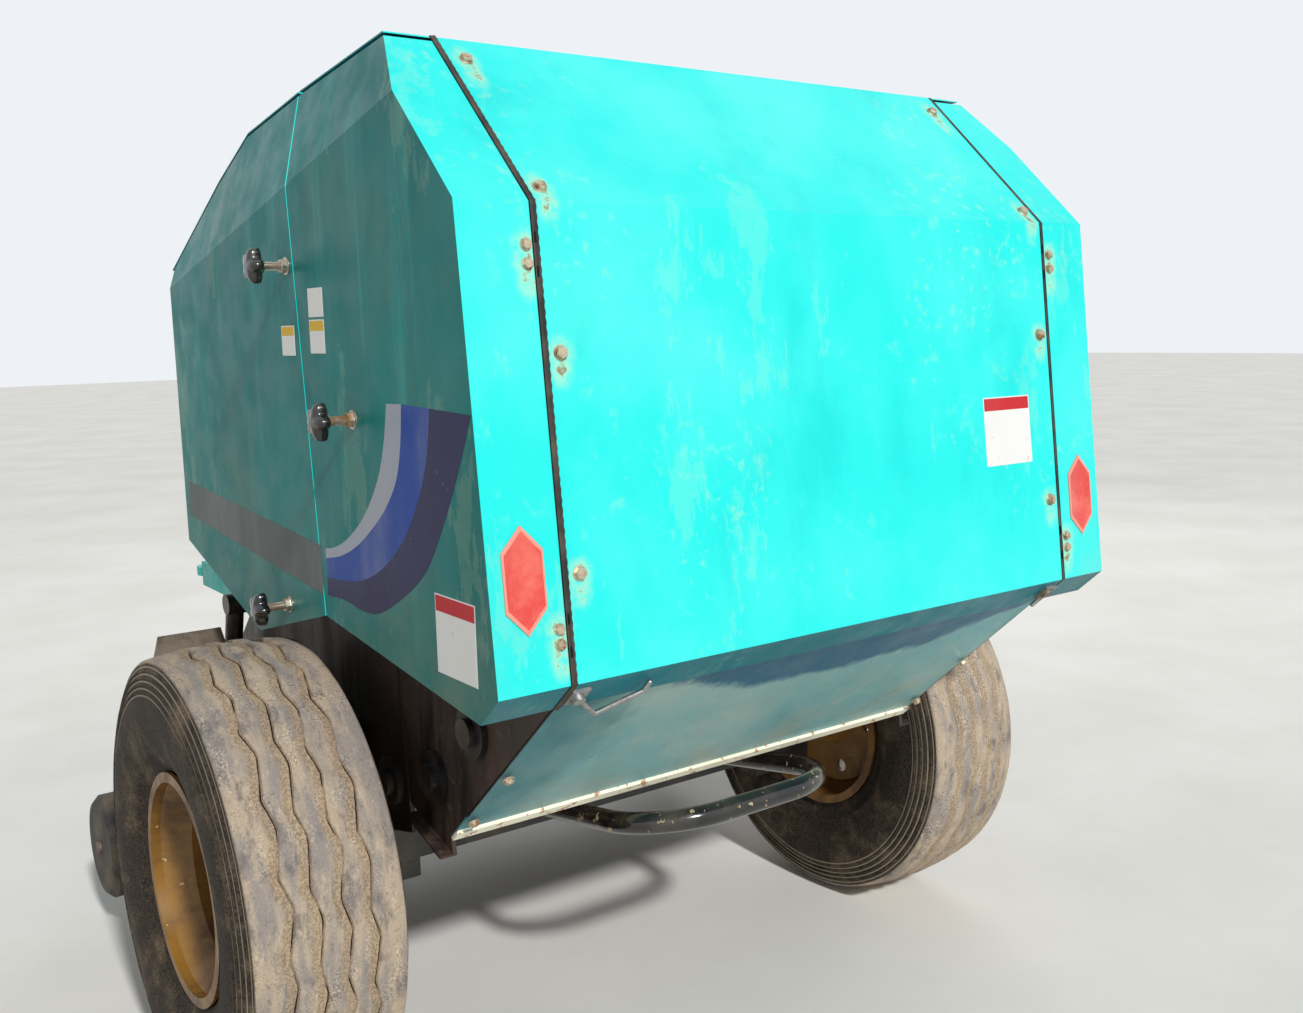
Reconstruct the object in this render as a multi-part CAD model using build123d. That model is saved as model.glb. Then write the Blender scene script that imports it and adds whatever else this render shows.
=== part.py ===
"""Round baler with a wide pick-up, towed on two wheels and parked on its drawbar jack.

Millimetres, +X towards the tractor, +Y to the left, +Z up. Sizes below count X from the axle
and Z from the ground. The finished part is moved so that its origin is the centre of its base.
"""

from build123d import *
import os
from math import cos, hypot, pi, radians, sin

os.makedirs("parts", exist_ok=True)

# Main widths: the body's sides, the walls inside them and the wheels outside them
HALF_WIDTH = 654.0
SIDE_BAY = 119.0
WALL = 8.0
WALL_OUT = HALF_WIDTH - SIDE_BAY
WALL_IN = WALL_OUT - WALL
WHEEL_OUT = 100.0
TRACK_HALF = HALF_WIDTH + WHEEL_OUT

# Tyres, wheels and axle
TYRE_R = 418.0
TYRE_SHOULDER_R = 407.0
TREAD_WIDTH = 239.0
SECTION_WIDTH = 288.0
SECTION_R = 312.0
BEAD_R = 196.0
RIM_WIDTH = 224.0
RIM_WALL = 6.0
RIM_WELL_R = 168.0
DISC_INSET = 52.0
DISC_THICK = 9.0
HUB_R = 72.0
HUB_LENGTH = 96.0
DISC_HOLES = 5
DISC_HOLE_R = 15.0
SPINDLE_R = 27.0
SPINDLE_GAP = 0.1
AXLE_SQUARE = 90.0
AXLE_HALF = WALL_OUT + 25.0
AXLE_Z = TYRE_R
AXLE_CLAMP = (60.0, 40.0, 44.0)
AXLE_CLAMP_Y = WALL_IN - 77.0

# Body covers: outline in side view, lower rear corner first
SHEET = 3.0
SEAM = 6.0
LIP_LENGTH = 69.0
REAR_LOW = (-784.0, 895.0)
REAR_HIGH = (-718.0, 1546.0)
ROOF_REAR = (-451.0, 1806.0)
ROOF_SEAM = (-77.0, 1782.0)
ROOF_FRONT = (215.0, 1753.0)
HOOD_MID = (358.0, 1679.0)
HOOD_FRONT = (587.0, 1519.0)
DOOR_FRONT_X = 568.0
DOOR_FRONT_LOW = 945.0
DOOR_TIP = (140.0, 823.0)
SEAM_LOW = (-199.0, 910.0)
SEAM_FOLD = (-134.0, 1621.0)
FOLD_Z = 1593.0
FOLD_SLOPE = -0.2
CHAMFER_LEAN = 0.32
STRIP_Y = WALL_OUT + 2.0
STRIP_SEAM = 8.0
LOWER_END = (-387.0, 546.0)
BAND_WIDTH = 26.0
BAND_THICK = 6.0

# Bale chamber and its two pairs of walls
CHAMBER_X = -90.0
CHAMBER_Z = 1110.0
BALE_R = 460.0
ROLLER_R = 60.0
ROLLER_RIB = 6.0
ROLLER_RIBS = 8
ROLLER_WALL = 6.0
END_GAP = 0.3
ROLLER_GAP = 4.0
ROLLER_PITCH_R = BALE_R + ROLLER_R + ROLLER_RIB + ROLLER_GAP
FRONT_ANGLES = (84.0, 64.0, 44.0, 24.0, 4.0, -16.0, -75.0, -98.0)
GATE_ANGLES = (102.0, 122.0, 142.0, 162.0, 182.0, 202.0, 222.0, 242.0)
BEARING_R = 44.0
BEARING_DEPTH = 22.0
SHAFT_R = 24.0
SHAFT_GAP = 0.1

# Gate hinge at the roof seam
HINGE = (-80.0, 1788.0)
EAR_R = 18.0
EAR_THICK = 10.0
EAR_GAP = 5.0
PIN_R = 10.0
PIN_GAP = 0.1
NOTCH = 25.0
EAR_NECK = 48.0
GATE_TIP = (-388.0, 517.0)
GATE_SEAM_LOW_Z = 563.0
TIP_FLANGE = 132.0
TIP_FLANGE_OUT = 24.0
TIP_FLANGE_THICK = 4.0
GATE_TUBE_SHARES = (0.16, 0.84)
GATE_TUBE_DEPTH = 34.0

# Frame members
BOX_TUBE = 80.0
CROSS_X = 515.0
CROSS_Z = 815.0
FLOOR_CROSS_X = 440.0
FLOOR_CROSS_Z = 384.0
TOP_TUBE = 50.0
TOP_TUBE_X = 30.0
WALL_FRONT_X = 560.0
WALL_FRONT_LOW_Z = 640.0
SEAM_LOW_Z = 508.0

# Drawbar, hitch and jack
ARM_W = 60.0
ARM_H = 100.0
ARM_REAR_Y = 300.0
ARM_FRONT_Y = 62.0
ARM_FRONT_X = 2120.0
TONGUE_Z = 500.0
TONGUE_W = 100.0
TONGUE_H = 90.0
TONGUE_REAR_X = 2020.0
HITCH_X = 2640.0
TIE_X = 1320.0
TIE = 60.0
EYE_R = 52.0
EYE_BORE_R = 16.5
EYE_THICK = 32.0
JACK_X = 2220.0
JACK_Y = -112.0
JACK_R = 36.0
JACK_WALL = 5.0
JACK_GAP = 0.3
JACK_TOP = 760.0
JACK_LOW = 320.0
FOOT_R = 85.0
FOOT_THICK = 10.0

# Feed rotor, channel floor and knives
ROTOR_X = 321.0
ROTOR_Z = 620.0
ROTOR_R = 170.0
ROTOR_CORE_R = 48.0
ROTOR_STARS = 12
STAR_ARMS = 4
STAR_THICK = 10.0
FLOOR_GAP = 10.0
FLOOR_THICK = 6.0
KNIFE_THICK = 5.0

# Pick-up
PICKUP_PIVOT = (460.0, 560.0)
PICKUP_HALF = TRACK_HALF - 14.0
PICKUP_WALL = 5.0
PICKUP_DOWN = 18.0
REEL = (690.0, 322.0)
TINE_TIP_R = 190.0
TINE_BAR_R = 100.0
TINE_COUNT = 20
TINE_PITCH = 2 * (PICKUP_HALF - 113.0) / (TINE_COUNT - 1)
TINE_SIDE = 7.0
TINE_COIL_R = 17.0
TINE_COIL_WIDTH = 22.0
BAR_COUNT = 4
BAR_SIDE = 22.0
BAND_R = 148.0
BAND_STRIP = 40.0
BAND_STRIP_THICK = 4.0
BAND_CARRIER = (474.0, 478.0)
LOWER_TUBE = (520.0, 182.0)
LOWER_TUBE_R = 22.0
WING_Y = TRACK_HALF - SECTION_WIDTH / 2 - 4.0
PICKUP_PIN_R = 12.0
ARM_Y = WALL_OUT + 6.0
ARM_PLATE = 8.0
GAUGE_X = 800.0
GAUGE_Z = 222.0
GAUGE_R = 118.0
GAUGE_WIDTH = 62.0
GAUGE_Y = PICKUP_HALF + 68.0
GAUGE_AXLE_R = 14.0

# Outlines of the pick-up's plates, in (x, z) from its pivot, its lower tube or its reel's centre
WING_FROM_PIVOT = ((90.0, 188.0), (-8.0, 93.0), (-2.0, -80.0), (40.0, -160.0))
PLATE_FROM_PIVOT = ((48.0, -260.0),)
PLATE_FROM_TUBE = ((-24.0, 20.0), (-14.0, -24.0), (20.0, -30.0))
PLATE_FROM_REEL = (
    (10.0, -136.0),
    (92.0, -132.0),
    (144.0, -117.0),
    (156.0, -22.0),
    (170.0, 58.0),
    (110.0, 218.0),
    (-50.0, 318.0),
)
ARM_FROM_PIVOT = (
    (-22.0, 24.0),
    (30.0, 36.0),
    (176.0, -18.0),
    (176.0, -64.0),
    (26.0, -74.0),
    (17.0, -78.0),
    (17.0, -96.0),
    (24.0, -260.0),
    (80.0, -364.0),
    (44.0, -388.0),
    (-8.0, -264.0),
    (-8.0, -96.0),
)

# Wind guard over the pick-up
GUARD_PIVOT = (640.0, 655.0)
GUARD_TUBE_R = 17.0
GUARD_HALF = WALL_IN - 10.0
GUARD_FINGERS = 15
GUARD_FINGER_R = 5.0
GUARD_BEND = (170.0, -40.0)
GUARD_TIP = (300.0, -130.0)
GUARD_EAR = 20.0

# Hinges of the side doors and of the gate covers
DOOR_AXIS_X = DOOR_FRONT_X - SEAM
DOOR_AXIS_Y = HALF_WIDTH - SHEET - 10.0
DOOR_HINGE_Z = (1010.0, 1380.0)
DOOR_BARREL_R = 10.0
DOOR_PIN_R = 5.0
COVER_HINGE_Z = (963.0, 1475.0)
COVER_BARREL_R = STRIP_SEAM / 2 - 0.2
COVER_PIN_R = 1.6
COVER_LEAF = 34.0
HINGE_LENGTH = 30.0
HINGE_GAP = 0.3

# Net box on the front
NET_HALF = WALL_IN - 7.0
NET_REAR_X = 592.0
NET_FRONT_X = 872.0
NET_LOW_Z = 1120.0
NET_TOP_Z = 1468.0
NET_HINGE_X = 622.0
NET_CUT = (80.0, 92.0)
NET_LIP = 110.0
LID_GAP = 5.0

# Gearbox, input shaft and side drive
GEARBOX_FRONT_X = 765.0
GEARBOX_HALF = 88.0
GEARBOX_LOW_Z = 775.0
GEARBOX_TOP_Z = 945.0
INPUT_Z = 862.0
INPUT_R = 17.45
INPUT_LENGTH = 92.0
DRIVE_X = 652.0
DRIVE_Z = 872.0
CHAIN_WIDTH = 16.0
CHAIN_OUT = 6.0
CHAIN_IN = 4.3
CHAIN_GAP = 0.3
FEED_CHAIN_Y = -(WALL_OUT + 31.0)
ROLLER_CHAIN_Y = FEED_CHAIN_Y - CHAIN_WIDTH - 10.0
DRIVE_SPROCKET_R = 52.0
FEED_SPROCKET_R = 92.0
ROLLER_SPROCKET_R = 84.0
DRIVEN_ANGLE = 4.0
INPUT_GUARD_HALF = 105.0
INPUT_GUARD_THICK = 4.0
INPUT_GUARD_CUT = 30.0

# Gate cylinders, one in each side bay, and the pick-up's cylinder
GATE_OPEN = 65.0
CYL_Y = WALL_OUT + 57.0
CYL_FOOT = (40.0, 884.0)
CYL_EYE = (-280.0, 1498.0)
CYL_R = 24.0
ROD_R = 13.0
LIFT_Y = WALL_OUT + 43.0
LIFT_FOOT = (528.0, 800.0)
LIFT_EYE = (612.0, 520.0)
LIFT_R = 19.0
LIFT_ROD_R = 10.0
EYE_GAP = 0.6
EYE_SIDE = 1.5

# Bow under the tail
BOW_R = 20.0
BOW_HALF = 232.0
BOW_MID_Y = -30.0
BOW_X = -500.0
BOW_Z = 508.0
BOW_CORNER = 150.0

# Knobs, reflectors and latches
GATE_KNOBS = ((-358.0, 1245.0),)
DOOR_KNOBS = ((-114.0, 1490.0), (-30.0, 901.0))
REFLECTOR_Y = HALF_WIDTH - 54.0
REFLECTOR_Z = (972.0, 1120.0)
REFLECTOR_HALF = 32.0
REFLECTOR_CUT = 30.0
LATCH_SIZE = (30.0, 36.0, 5.0)
LATCH_LEVER = ((0.0, 0.0, 5.0), (50.0, 55.0, 12.0), (114.0, 10.0, 12.0), (120.0, -4.0, 7.0))
LATCH_HOOK = ((0.0, 0.0, 5.0), (16.0, 30.0, 10.0))
LATCH_LEVER_R = 4.0

FRONT_X = HITCH_X + EYE_R


def slab(points, y0, y1):
    """A flat plate: an outline in (x, z) carried from y0 to y1."""
    low, high = min(y0, y1), max(y0, y1)
    outline = Polyline(*[(x, low, z) for x, z in points], close=True)
    return extrude(make_face(outline), amount=high - low, dir=(0, 1, 0))


def block(x0, x1, y0, y1, z0, z1):
    """A rectangular bar between two corners."""
    size = (abs(x1 - x0), abs(y1 - y0), abs(z1 - z0))
    return Pos((x0 + x1) / 2, (y0 + y1) / 2, (z0 + z1) / 2) * Box(*size)


def rod_y(x, z, radius, y0, y1):
    """A round bar across the machine."""
    return Pos(x, (y0 + y1) / 2, z) * Rot(90, 0, 0) * Cylinder(radius, abs(y1 - y0))


def rod_x(y, z, radius, x0, x1):
    """A round bar along the machine."""
    return Pos((x0 + x1) / 2, y, z) * Rot(0, 90, 0) * Cylinder(radius, abs(x1 - x0))


def rod_z(x, y, radius, z0, z1):
    """A round bar standing upright."""
    return Pos(x, y, (z0 + z1) / 2) * Cylinder(radius, abs(z1 - z0))


def beam(start, end, width, height):
    """A square bar from point to point, its height in the upright plane."""
    along = Vector(*end) - Vector(*start)
    side = along.cross(Vector(0, 0, 1))
    place = Plane(origin=start, x_dir=side, z_dir=along)
    return extrude(place * Rectangle(width, height), amount=along.length)


def rod_between(start, end, radius):
    """A round bar from point to point."""
    along = Vector(end) - Vector(start)
    return extrude(Plane(origin=start, z_dir=along) * Circle(radius), amount=along.length)


def opposite(shape):
    """The same piece on the other side of the machine."""
    return mirror(shape, about=Plane.XZ)


def inset_line(points, gaps):
    """A polyline in (x, z) moved to its right by one gap for each stretch, with mitred corners."""
    if isinstance(gaps, (int, float)):
        gaps = [gaps] * (len(points) - 1)
    lines = []
    for (x0, z0), (x1, z1), gap in zip(points, points[1:], gaps):
        length = hypot(x1 - x0, z1 - z0)
        ux, uz = (x1 - x0) / length, (z1 - z0) / length
        lines.append((x0 + uz * gap, z0 - ux * gap, ux, uz, length))
    moved = [lines[0][:2]]
    for (ax, az, aux, auz, _), (bx, bz, bux, buz, _) in zip(lines, lines[1:]):
        across = aux * buz - auz * bux
        step = ((bx - ax) * buz - (bz - az) * bux) / across
        moved.append((ax + aux * step, az + auz * step))
    last = lines[-1]
    moved.append((last[0] + last[2] * last[4], last[1] + last[3] * last[4]))
    return moved


def along_line(start, end, distance):
    """The point at a distance from start towards end."""
    length = hypot(end[0] - start[0], end[1] - start[1])
    share = distance / length
    return (start[0] + (end[0] - start[0]) * share, start[1] + (end[1] - start[1]) * share)


def shifted(base, offsets):
    """Points in (x, z) given by their distances from a base point."""
    return [(base[0] + x, base[1] + z) for x, z in offsets]


def seam_x(z):
    """Where the upright seam between front and gate lies at a height."""
    slope = (SEAM_FOLD[0] - SEAM_LOW[0]) / (SEAM_FOLD[1] - SEAM_LOW[1])
    return SEAM_LOW[0] + (z - SEAM_LOW[1]) * slope


def roller_place(angle):
    """The centre of a chamber roller, by its angle round the bale."""
    turn = radians(angle)
    return (CHAMBER_X + ROLLER_PITCH_R * cos(turn), CHAMBER_Z + ROLLER_PITCH_R * sin(turn))


# Body covers

REAR_LIP = along_line(REAR_LOW, LOWER_END, LIP_LENGTH)
ROOF_LINE = [ROOF_REAR, ROOF_SEAM, ROOF_FRONT, HOOD_MID, HOOD_FRONT]
TOP_LINE = [REAR_LIP, REAR_LOW, REAR_HIGH] + ROOF_LINE
FAR = 400.0


def roof_under(x):
    """The height of the roof sheet's lower face at a distance ahead of the axle."""
    line = inset_line(ROOF_LINE, SHEET)
    for (x0, z0), (x1, z1) in zip(line, line[1:]):
        if x <= x1:
            break
    return z0 + (z1 - z0) * (x - x0) / (x1 - x0)


def chamfered(shape, inset):
    """Leans both upper side edges of a body shape inward above the fold."""
    outward = Vector(-CHAMFER_LEAN * FOLD_SLOPE, 1, CHAMFER_LEAN).normalized()
    origin = Vector(0, HALF_WIDTH, FOLD_Z) - outward * inset
    shape = split(shape, bisect_by=Plane(origin=origin, z_dir=outward), keep=Keep.BOTTOM)
    origin = Vector(origin.X, -origin.Y, origin.Z)
    outward = Vector(outward.X, -outward.Y, outward.Z)
    return split(shape, bisect_by=Plane(origin=origin, z_dir=outward), keep=Keep.BOTTOM)


def body_shell():
    """All of the body's sheet as one bent skin, open below and in front."""
    under = [(DOOR_FRONT_X, DOOR_FRONT_LOW), DOOR_TIP, SEAM_LOW]
    roof_end = along_line(HOOD_FRONT, HOOD_MID, (HOOD_FRONT[0] - DOOR_FRONT_X) * 1.22)
    outer = slab(TOP_LINE[:-1] + [roof_end] + under, -HALF_WIDTH, HALF_WIDTH)
    inner_top = inset_line(TOP_LINE, SHEET)
    lip_out = along_line(inner_top[1], inner_top[0], LIP_LENGTH + FAR)
    hood_out = along_line(inner_top[-2], inner_top[-1], FAR)
    below = [(hood_out[0], lip_out[1])]
    inner_half = HALF_WIDTH - SHEET
    inner = slab([lip_out] + inner_top[1:-1] + [hood_out] + below, -inner_half, inner_half)
    return chamfered(outer, 0) - chamfered(inner, SHEET)


def seam_region(offset, front):
    """Everything ahead of the seam, or behind it, at an offset from its centre."""
    low_z = LOWER_END[1] - FAR
    line = [(ROOF_SEAM[0], ROOF_SEAM[1] + FAR), ROOF_SEAM, SEAM_FOLD, SEAM_LOW, (seam_x(low_z), low_z)]
    line = [(x + offset, z) for x, z in line]
    reach = FRONT_X if front else REAR_LOW[0] - FAR
    return slab(line + [(reach, low_z), (reach, line[0][1])], -HALF_WIDTH * 2, HALF_WIDTH * 2)


def roof_region(depth):
    """Everything above the roof line or less than a depth below it."""
    line = inset_line(ROOF_LINE, depth)
    first = along_line(line[0], line[1], -FAR)
    last = along_line(line[-2], line[-1], FAR + 300)
    top = ROOF_REAR[1] + FAR
    return slab([first] + line + [last, (last[0], top), (first[0], top)], -HALF_WIDTH, HALF_WIDTH)


def side_region(y0, y1):
    """A slice of the machine between two distances to the left."""
    return block(REAR_LOW[0] - FAR, FRONT_X, y0, y1, 0, ROOF_REAR[1] + FAR)


def ear_notches(back, front):
    """Room in the roof sheet for the hinge ears on both sides."""
    y0, y1 = WALL_IN - EAR_GAP * 2.4, WALL_OUT + EAR_GAP + EAR_THICK + EAR_GAP
    hole = block(HINGE[0] - back, HINGE[0] + front, y0, y1, ROOF_SEAM[1] - FAR / 4, HINGE[1] + EAR_R)
    return hole + opposite(hole)


def make_covers():
    """The sheet metal that shows: doors, covers, roof, hood and tail panels."""
    shell = body_shell()
    behind = shell & seam_region(-SEAM / 2, False)
    ahead = shell & seam_region(SEAM / 2, True)
    under_roof = SHEET + SEAM
    cover_y = STRIP_Y + STRIP_SEAM / 2
    panel_y = STRIP_Y - STRIP_SEAM / 2
    cover = (behind & side_region(cover_y, HALF_WIDTH + 1)) - roof_region(under_roof)
    door = (ahead & side_region(cover_y, HALF_WIDTH + 1)) - roof_region(under_roof)
    roof_slab = roof_region(SHEET)
    panel = (behind & side_region(-panel_y, panel_y)) - roof_slab
    gate_roof = (behind & roof_slab) - ear_notches(NOTCH, NOTCH)
    hood = (hood_sheet() & seam_region(SEAM / 2, True)) - ear_notches(NOTCH, EAR_NECK)
    return cover, door, panel, gate_roof, hood


def hood_sheet():
    """The front roof sheet, which reaches past the doors to its front lip."""
    band = slab(ROOF_LINE[1:] + inset_line(ROOF_LINE[1:], SHEET)[::-1], -HALF_WIDTH, HALF_WIDTH)
    return chamfered(band, 0)


def make_lower_panel():
    """The slanted panel under the tail, with a flat band along its lower edge."""
    start = along_line(REAR_LOW, LOWER_END, LIP_LENGTH / 2)
    top, bottom = inset_line([start, LOWER_END], -SHEET * 1.0)
    inner_top, inner_bottom = inset_line([start, LOWER_END], -SHEET * 2.0)
    half = WALL_OUT
    panel = slab([top, bottom, inner_bottom, inner_top], -half, half)
    low = bottom
    high = along_line(bottom, top, BAND_WIDTH)
    out_low, out_high = inset_line([low, high], -BAND_THICK)
    band = slab([low, high, out_high, out_low], -half, half)
    return panel, band


# Gate, frame walls and rollers

def wall_outline_gate():
    """The side wall of the gate, seated behind the tail panels and under the roof."""
    line = [LOWER_END, REAR_LOW, REAR_HIGH, ROOF_REAR, ROOF_SEAM]
    back = inset_line(line, [SHEET * 2, SHEET, SHEET, SHEET])
    front_x = -SEAM / 2
    top = (ROOF_SEAM[0] + front_x - 2, back[-1][1])
    seam = [(SEAM_FOLD[0] + front_x, SEAM_FOLD[1]), (seam_x(GATE_SEAM_LOW_Z) + front_x, GATE_SEAM_LOW_Z)]
    return back[:-1] + [top] + seam + [GATE_TIP]


def wall_outline_front():
    """The side wall of the fixed front half."""
    edge = SEAM / 2
    seam_top = ROOF_SEAM[0] + edge
    under_roof = inset_line(ROOF_LINE[1:], SHEET)[1:-1]
    return [
        (seam_top, roof_under(seam_top)),
        (SEAM_FOLD[0] + edge, SEAM_FOLD[1]),
        (seam_x(SEAM_LOW_Z) + edge, SEAM_LOW_Z),
        (-AXLE_SQUARE, AXLE_Z + AXLE_SQUARE * 0.6),
        (-AXLE_SQUARE, AXLE_Z - AXLE_SQUARE * 0.7),
        (AXLE_SQUARE, AXLE_Z - AXLE_SQUARE * 0.7),
        (FLOOR_CROSS_X + BOX_TUBE / 2, FLOOR_CROSS_Z - BOX_TUBE / 2),
        (FLOOR_CROSS_X + BOX_TUBE / 2, FLOOR_CROSS_Z + BOX_TUBE / 2),
        (FLOOR_CROSS_X - 6, 440.0),
        (FLOOR_CROSS_X - 6, 510.0),
        (WALL_FRONT_X - 60, WALL_FRONT_LOW_Z - 110),
        (WALL_FRONT_X, WALL_FRONT_LOW_Z),
        (GUARD_PIVOT[0], GUARD_PIVOT[1] - GUARD_EAR),
        (GUARD_PIVOT[0] + GUARD_EAR, GUARD_PIVOT[1] - GUARD_EAR / 2),
        (GUARD_PIVOT[0] + GUARD_EAR, GUARD_PIVOT[1] + GUARD_EAR),
        (WALL_FRONT_X, GUARD_PIVOT[1] + WALL_FRONT_X * 0.2),
        (WALL_FRONT_X, roof_under(WALL_FRONT_X)),
    ] + under_roof[::-1]


def make_front_wall():
    """The left front wall with its hinge ear and fixed pin."""
    wall = slab(wall_outline_front(), WALL_IN, WALL_OUT)
    ear_y = WALL_OUT + EAR_GAP
    root = (HINGE[0] + 50, ROOF_SEAM[1] - 60)
    low = root[1] - 32
    ear = rod_y(HINGE[0], HINGE[1], EAR_R, ear_y, ear_y + EAR_THICK)
    neck = slab(
        [
            (HINGE[0] - EAR_R + 4, HINGE[1] - 10),
            (HINGE[0] + EAR_R - 2, HINGE[1] + 8),
            (root[0] + 30, root[1] + 20),
            (root[0] + 30, low),
            (root[0] - 30, low),
        ],
        ear_y,
        ear_y + EAR_THICK,
    )
    pad = block(root[0] - 20, root[0] + 30, WALL_OUT - 1, ear_y + 1, low, root[1] + 10)
    pin = rod_y(HINGE[0], HINGE[1], PIN_R, WALL_IN - 6, ear_y + EAR_THICK + 4)
    wall -= rod_y(HINGE[0], HINGE[1], EAR_R + 2 * SEAM, WALL_IN - 1, WALL_OUT + 1)
    wall -= rod_y(ROTOR_X, ROTOR_Z, SHAFT_R + SHAFT_GAP, WALL_IN - 1, WALL_OUT + 1)
    foot = rod_y(CYL_FOOT[0], CYL_FOOT[1], 28, WALL_OUT - 1, CYL_Y - CYL_R - EYE_SIDE - EYE_GAP)
    pivot = rod_y(PICKUP_PIVOT[0], PICKUP_PIVOT[1], PICKUP_PIN_R, WALL_OUT - 1, ARM_Y + ARM_PLATE + 4)
    guard_pin = rod_y(GUARD_PIVOT[0], GUARD_PIVOT[1], GUARD_TUBE_R / 2, GUARD_HALF + END_GAP, WALL_IN + 1)
    return wall + ear + neck + pad + pin + foot + pivot + guard_pin


def make_gate_wall():
    """The left gate wall with its hinge ear and the boss for its cylinder."""
    wall = slab(wall_outline_gate(), WALL_IN, WALL_OUT)
    ear = rod_y(HINGE[0], HINGE[1], EAR_R, WALL_IN, WALL_OUT)
    neck = slab(
        [
            (HINGE[0] - EAR_R + 1, HINGE[1] + 4),
            (HINGE[0] + 4, HINGE[1] - EAR_R + 1),
            (HINGE[0] - 22, ROOF_SEAM[1] - 40),
            (HINGE[0] - 60, ROOF_SEAM[1] - 40),
            (HINGE[0] - NOTCH + 1, ROOF_SEAM[1] - SHEET),
        ],
        WALL_IN,
        WALL_OUT,
    )
    lug = rod_y(CYL_EYE[0], CYL_EYE[1], 30, WALL_OUT - 1, CYL_Y - ROD_R * 2 - EYE_GAP)
    pin_hole = rod_y(HINGE[0], HINGE[1], PIN_R + PIN_GAP, WALL_IN - 1, WALL_OUT + 1)
    seam_low = (seam_x(GATE_SEAM_LOW_Z) - SEAM / 2, GATE_SEAM_LOW_Z)
    edge = [GATE_TIP, along_line(GATE_TIP, seam_low, TIP_FLANGE)]
    flange = slab(edge + inset_line(edge, -TIP_FLANGE_THICK)[::-1], WALL_OUT - 1, WALL_OUT + TIP_FLANGE_OUT)
    return wall + ear + neck + lug + flange - pin_hole


def roller_outline(x, z):
    """The ribbed section of a roller."""
    points = []
    step = 2 * pi / ROLLER_RIBS
    rib = step * 0.12
    for index in range(ROLLER_RIBS):
        middle = index * step
        for turn, radius in (
            (middle - step / 2, ROLLER_R),
            (middle - rib, ROLLER_R),
            (middle - rib, ROLLER_R + ROLLER_RIB),
            (middle + rib, ROLLER_R + ROLLER_RIB),
            (middle + rib, ROLLER_R),
        ):
            points.append((x + radius * cos(turn), z + radius * sin(turn)))
    return points


def make_rollers(angles):
    """Ribbed rollers between the walls, one for each angle round the bale."""
    half = WALL_IN - END_GAP
    rollers = []
    for angle in angles:
        x, z = roller_place(angle)
        tube = slab(roller_outline(x, z), -half, half)
        rollers.append(tube - rod_y(x, z, ROLLER_R - ROLLER_WALL, -half - 1, half + 1))
    return rollers


def make_bearings(angles):
    """Bearing housings on the outer faces of both walls."""
    housings = []
    for angle in angles:
        x, z = roller_place(angle)
        housing = rod_y(x, z, BEARING_R, WALL_OUT, WALL_OUT + BEARING_DEPTH * 0.5)
        housing += rod_y(x, z, BEARING_R * 0.55, WALL_OUT, WALL_OUT + BEARING_DEPTH)
        housings += [housing, opposite(housing)]
    return housings


def make_rotor_bearings():
    """Flanged rings that carry the feed rotor's shaft outside both walls."""
    ring = rod_y(ROTOR_X, ROTOR_Z, BEARING_R, WALL_OUT, WALL_OUT + BEARING_DEPTH * 0.5)
    ring -= rod_y(ROTOR_X, ROTOR_Z, SHAFT_R + SHAFT_GAP, WALL_OUT - 1, WALL_OUT + BEARING_DEPTH)
    return [ring, opposite(ring)]


def make_cross_members():
    """Square tubes that tie the two front walls together."""
    half = WALL_IN
    tubes = []
    for x, top, size in (
        (CROSS_X, CROSS_Z + BOX_TUBE / 2, BOX_TUBE),
        (FLOOR_CROSS_X, FLOOR_CROSS_Z + BOX_TUBE * 0.4, BOX_TUBE * 0.8),
        (TOP_TUBE_X, roof_under(TOP_TUBE_X + TOP_TUBE / 2), TOP_TUBE),
        (WALL_FRONT_X - SHEET - TOP_TUBE / 2, roof_under(WALL_FRONT_X) - 2 * TOP_TUBE, TOP_TUBE),
    ):
        tubes.append(block(x - size / 2, x + size / 2, -half, half, top - size, top))
    return tubes


def make_gate_frame():
    """Square tubes across the gate, behind its tail panels."""
    half = WALL_IN
    tubes = []
    low, high = inset_line([REAR_LOW, REAR_HIGH, ROOF_REAR], SHEET)[:2]
    face = hypot(high[0] - low[0], high[1] - low[1])
    for share in GATE_TUBE_SHARES:
        lower = along_line(low, high, face * share - TOP_TUBE / 2)
        upper = along_line(low, high, face * share + TOP_TUBE / 2)
        front = lower[0] + GATE_TUBE_DEPTH
        tubes.append(slab([lower, upper, (front, upper[1]), (front, lower[1])], -half, half))
    return tubes


# Wheels and axle

def make_axle():
    """Square axle beam with a round spindle at each end."""
    half = AXLE_SQUARE / 2
    beam_bar = block(-half, half, -AXLE_HALF, AXLE_HALF, AXLE_Z - half, AXLE_Z + half)
    reach = TRACK_HALF - RIM_WIDTH / 2 + DISC_INSET + HUB_LENGTH * 0.4
    long, wide, tall = AXLE_CLAMP
    for side in (1, -1):
        y0, y1 = side * (AXLE_CLAMP_Y - wide / 2), side * (AXLE_CLAMP_Y + wide / 2)
        beam_bar += block(-long / 2, long / 2, y0, y1, AXLE_Z - half - tall, AXLE_Z - half)
        beam_bar += rod_y(0, AXLE_Z, SPINDLE_R, side * (AXLE_HALF - 5), side * reach)
        beam_bar += rod_y(0, AXLE_Z, SPINDLE_R + 10, side * (AXLE_HALF - 5), side * (AXLE_HALF + 22))
    slot = block(-half, half, WALL_IN, WALL_OUT, AXLE_Z - half, AXLE_Z + half)
    return beam_bar, slot + opposite(slot)


def revolved(points, y, z):
    """A ring: an outline in (distance along Y, radius) turned about a crosswise axis."""
    outline = Polyline(*[(0, along, radius) for along, radius in points], close=True)
    return Pos(0, y, z) * revolve(make_face(outline), Axis.Y, 360)


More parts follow.
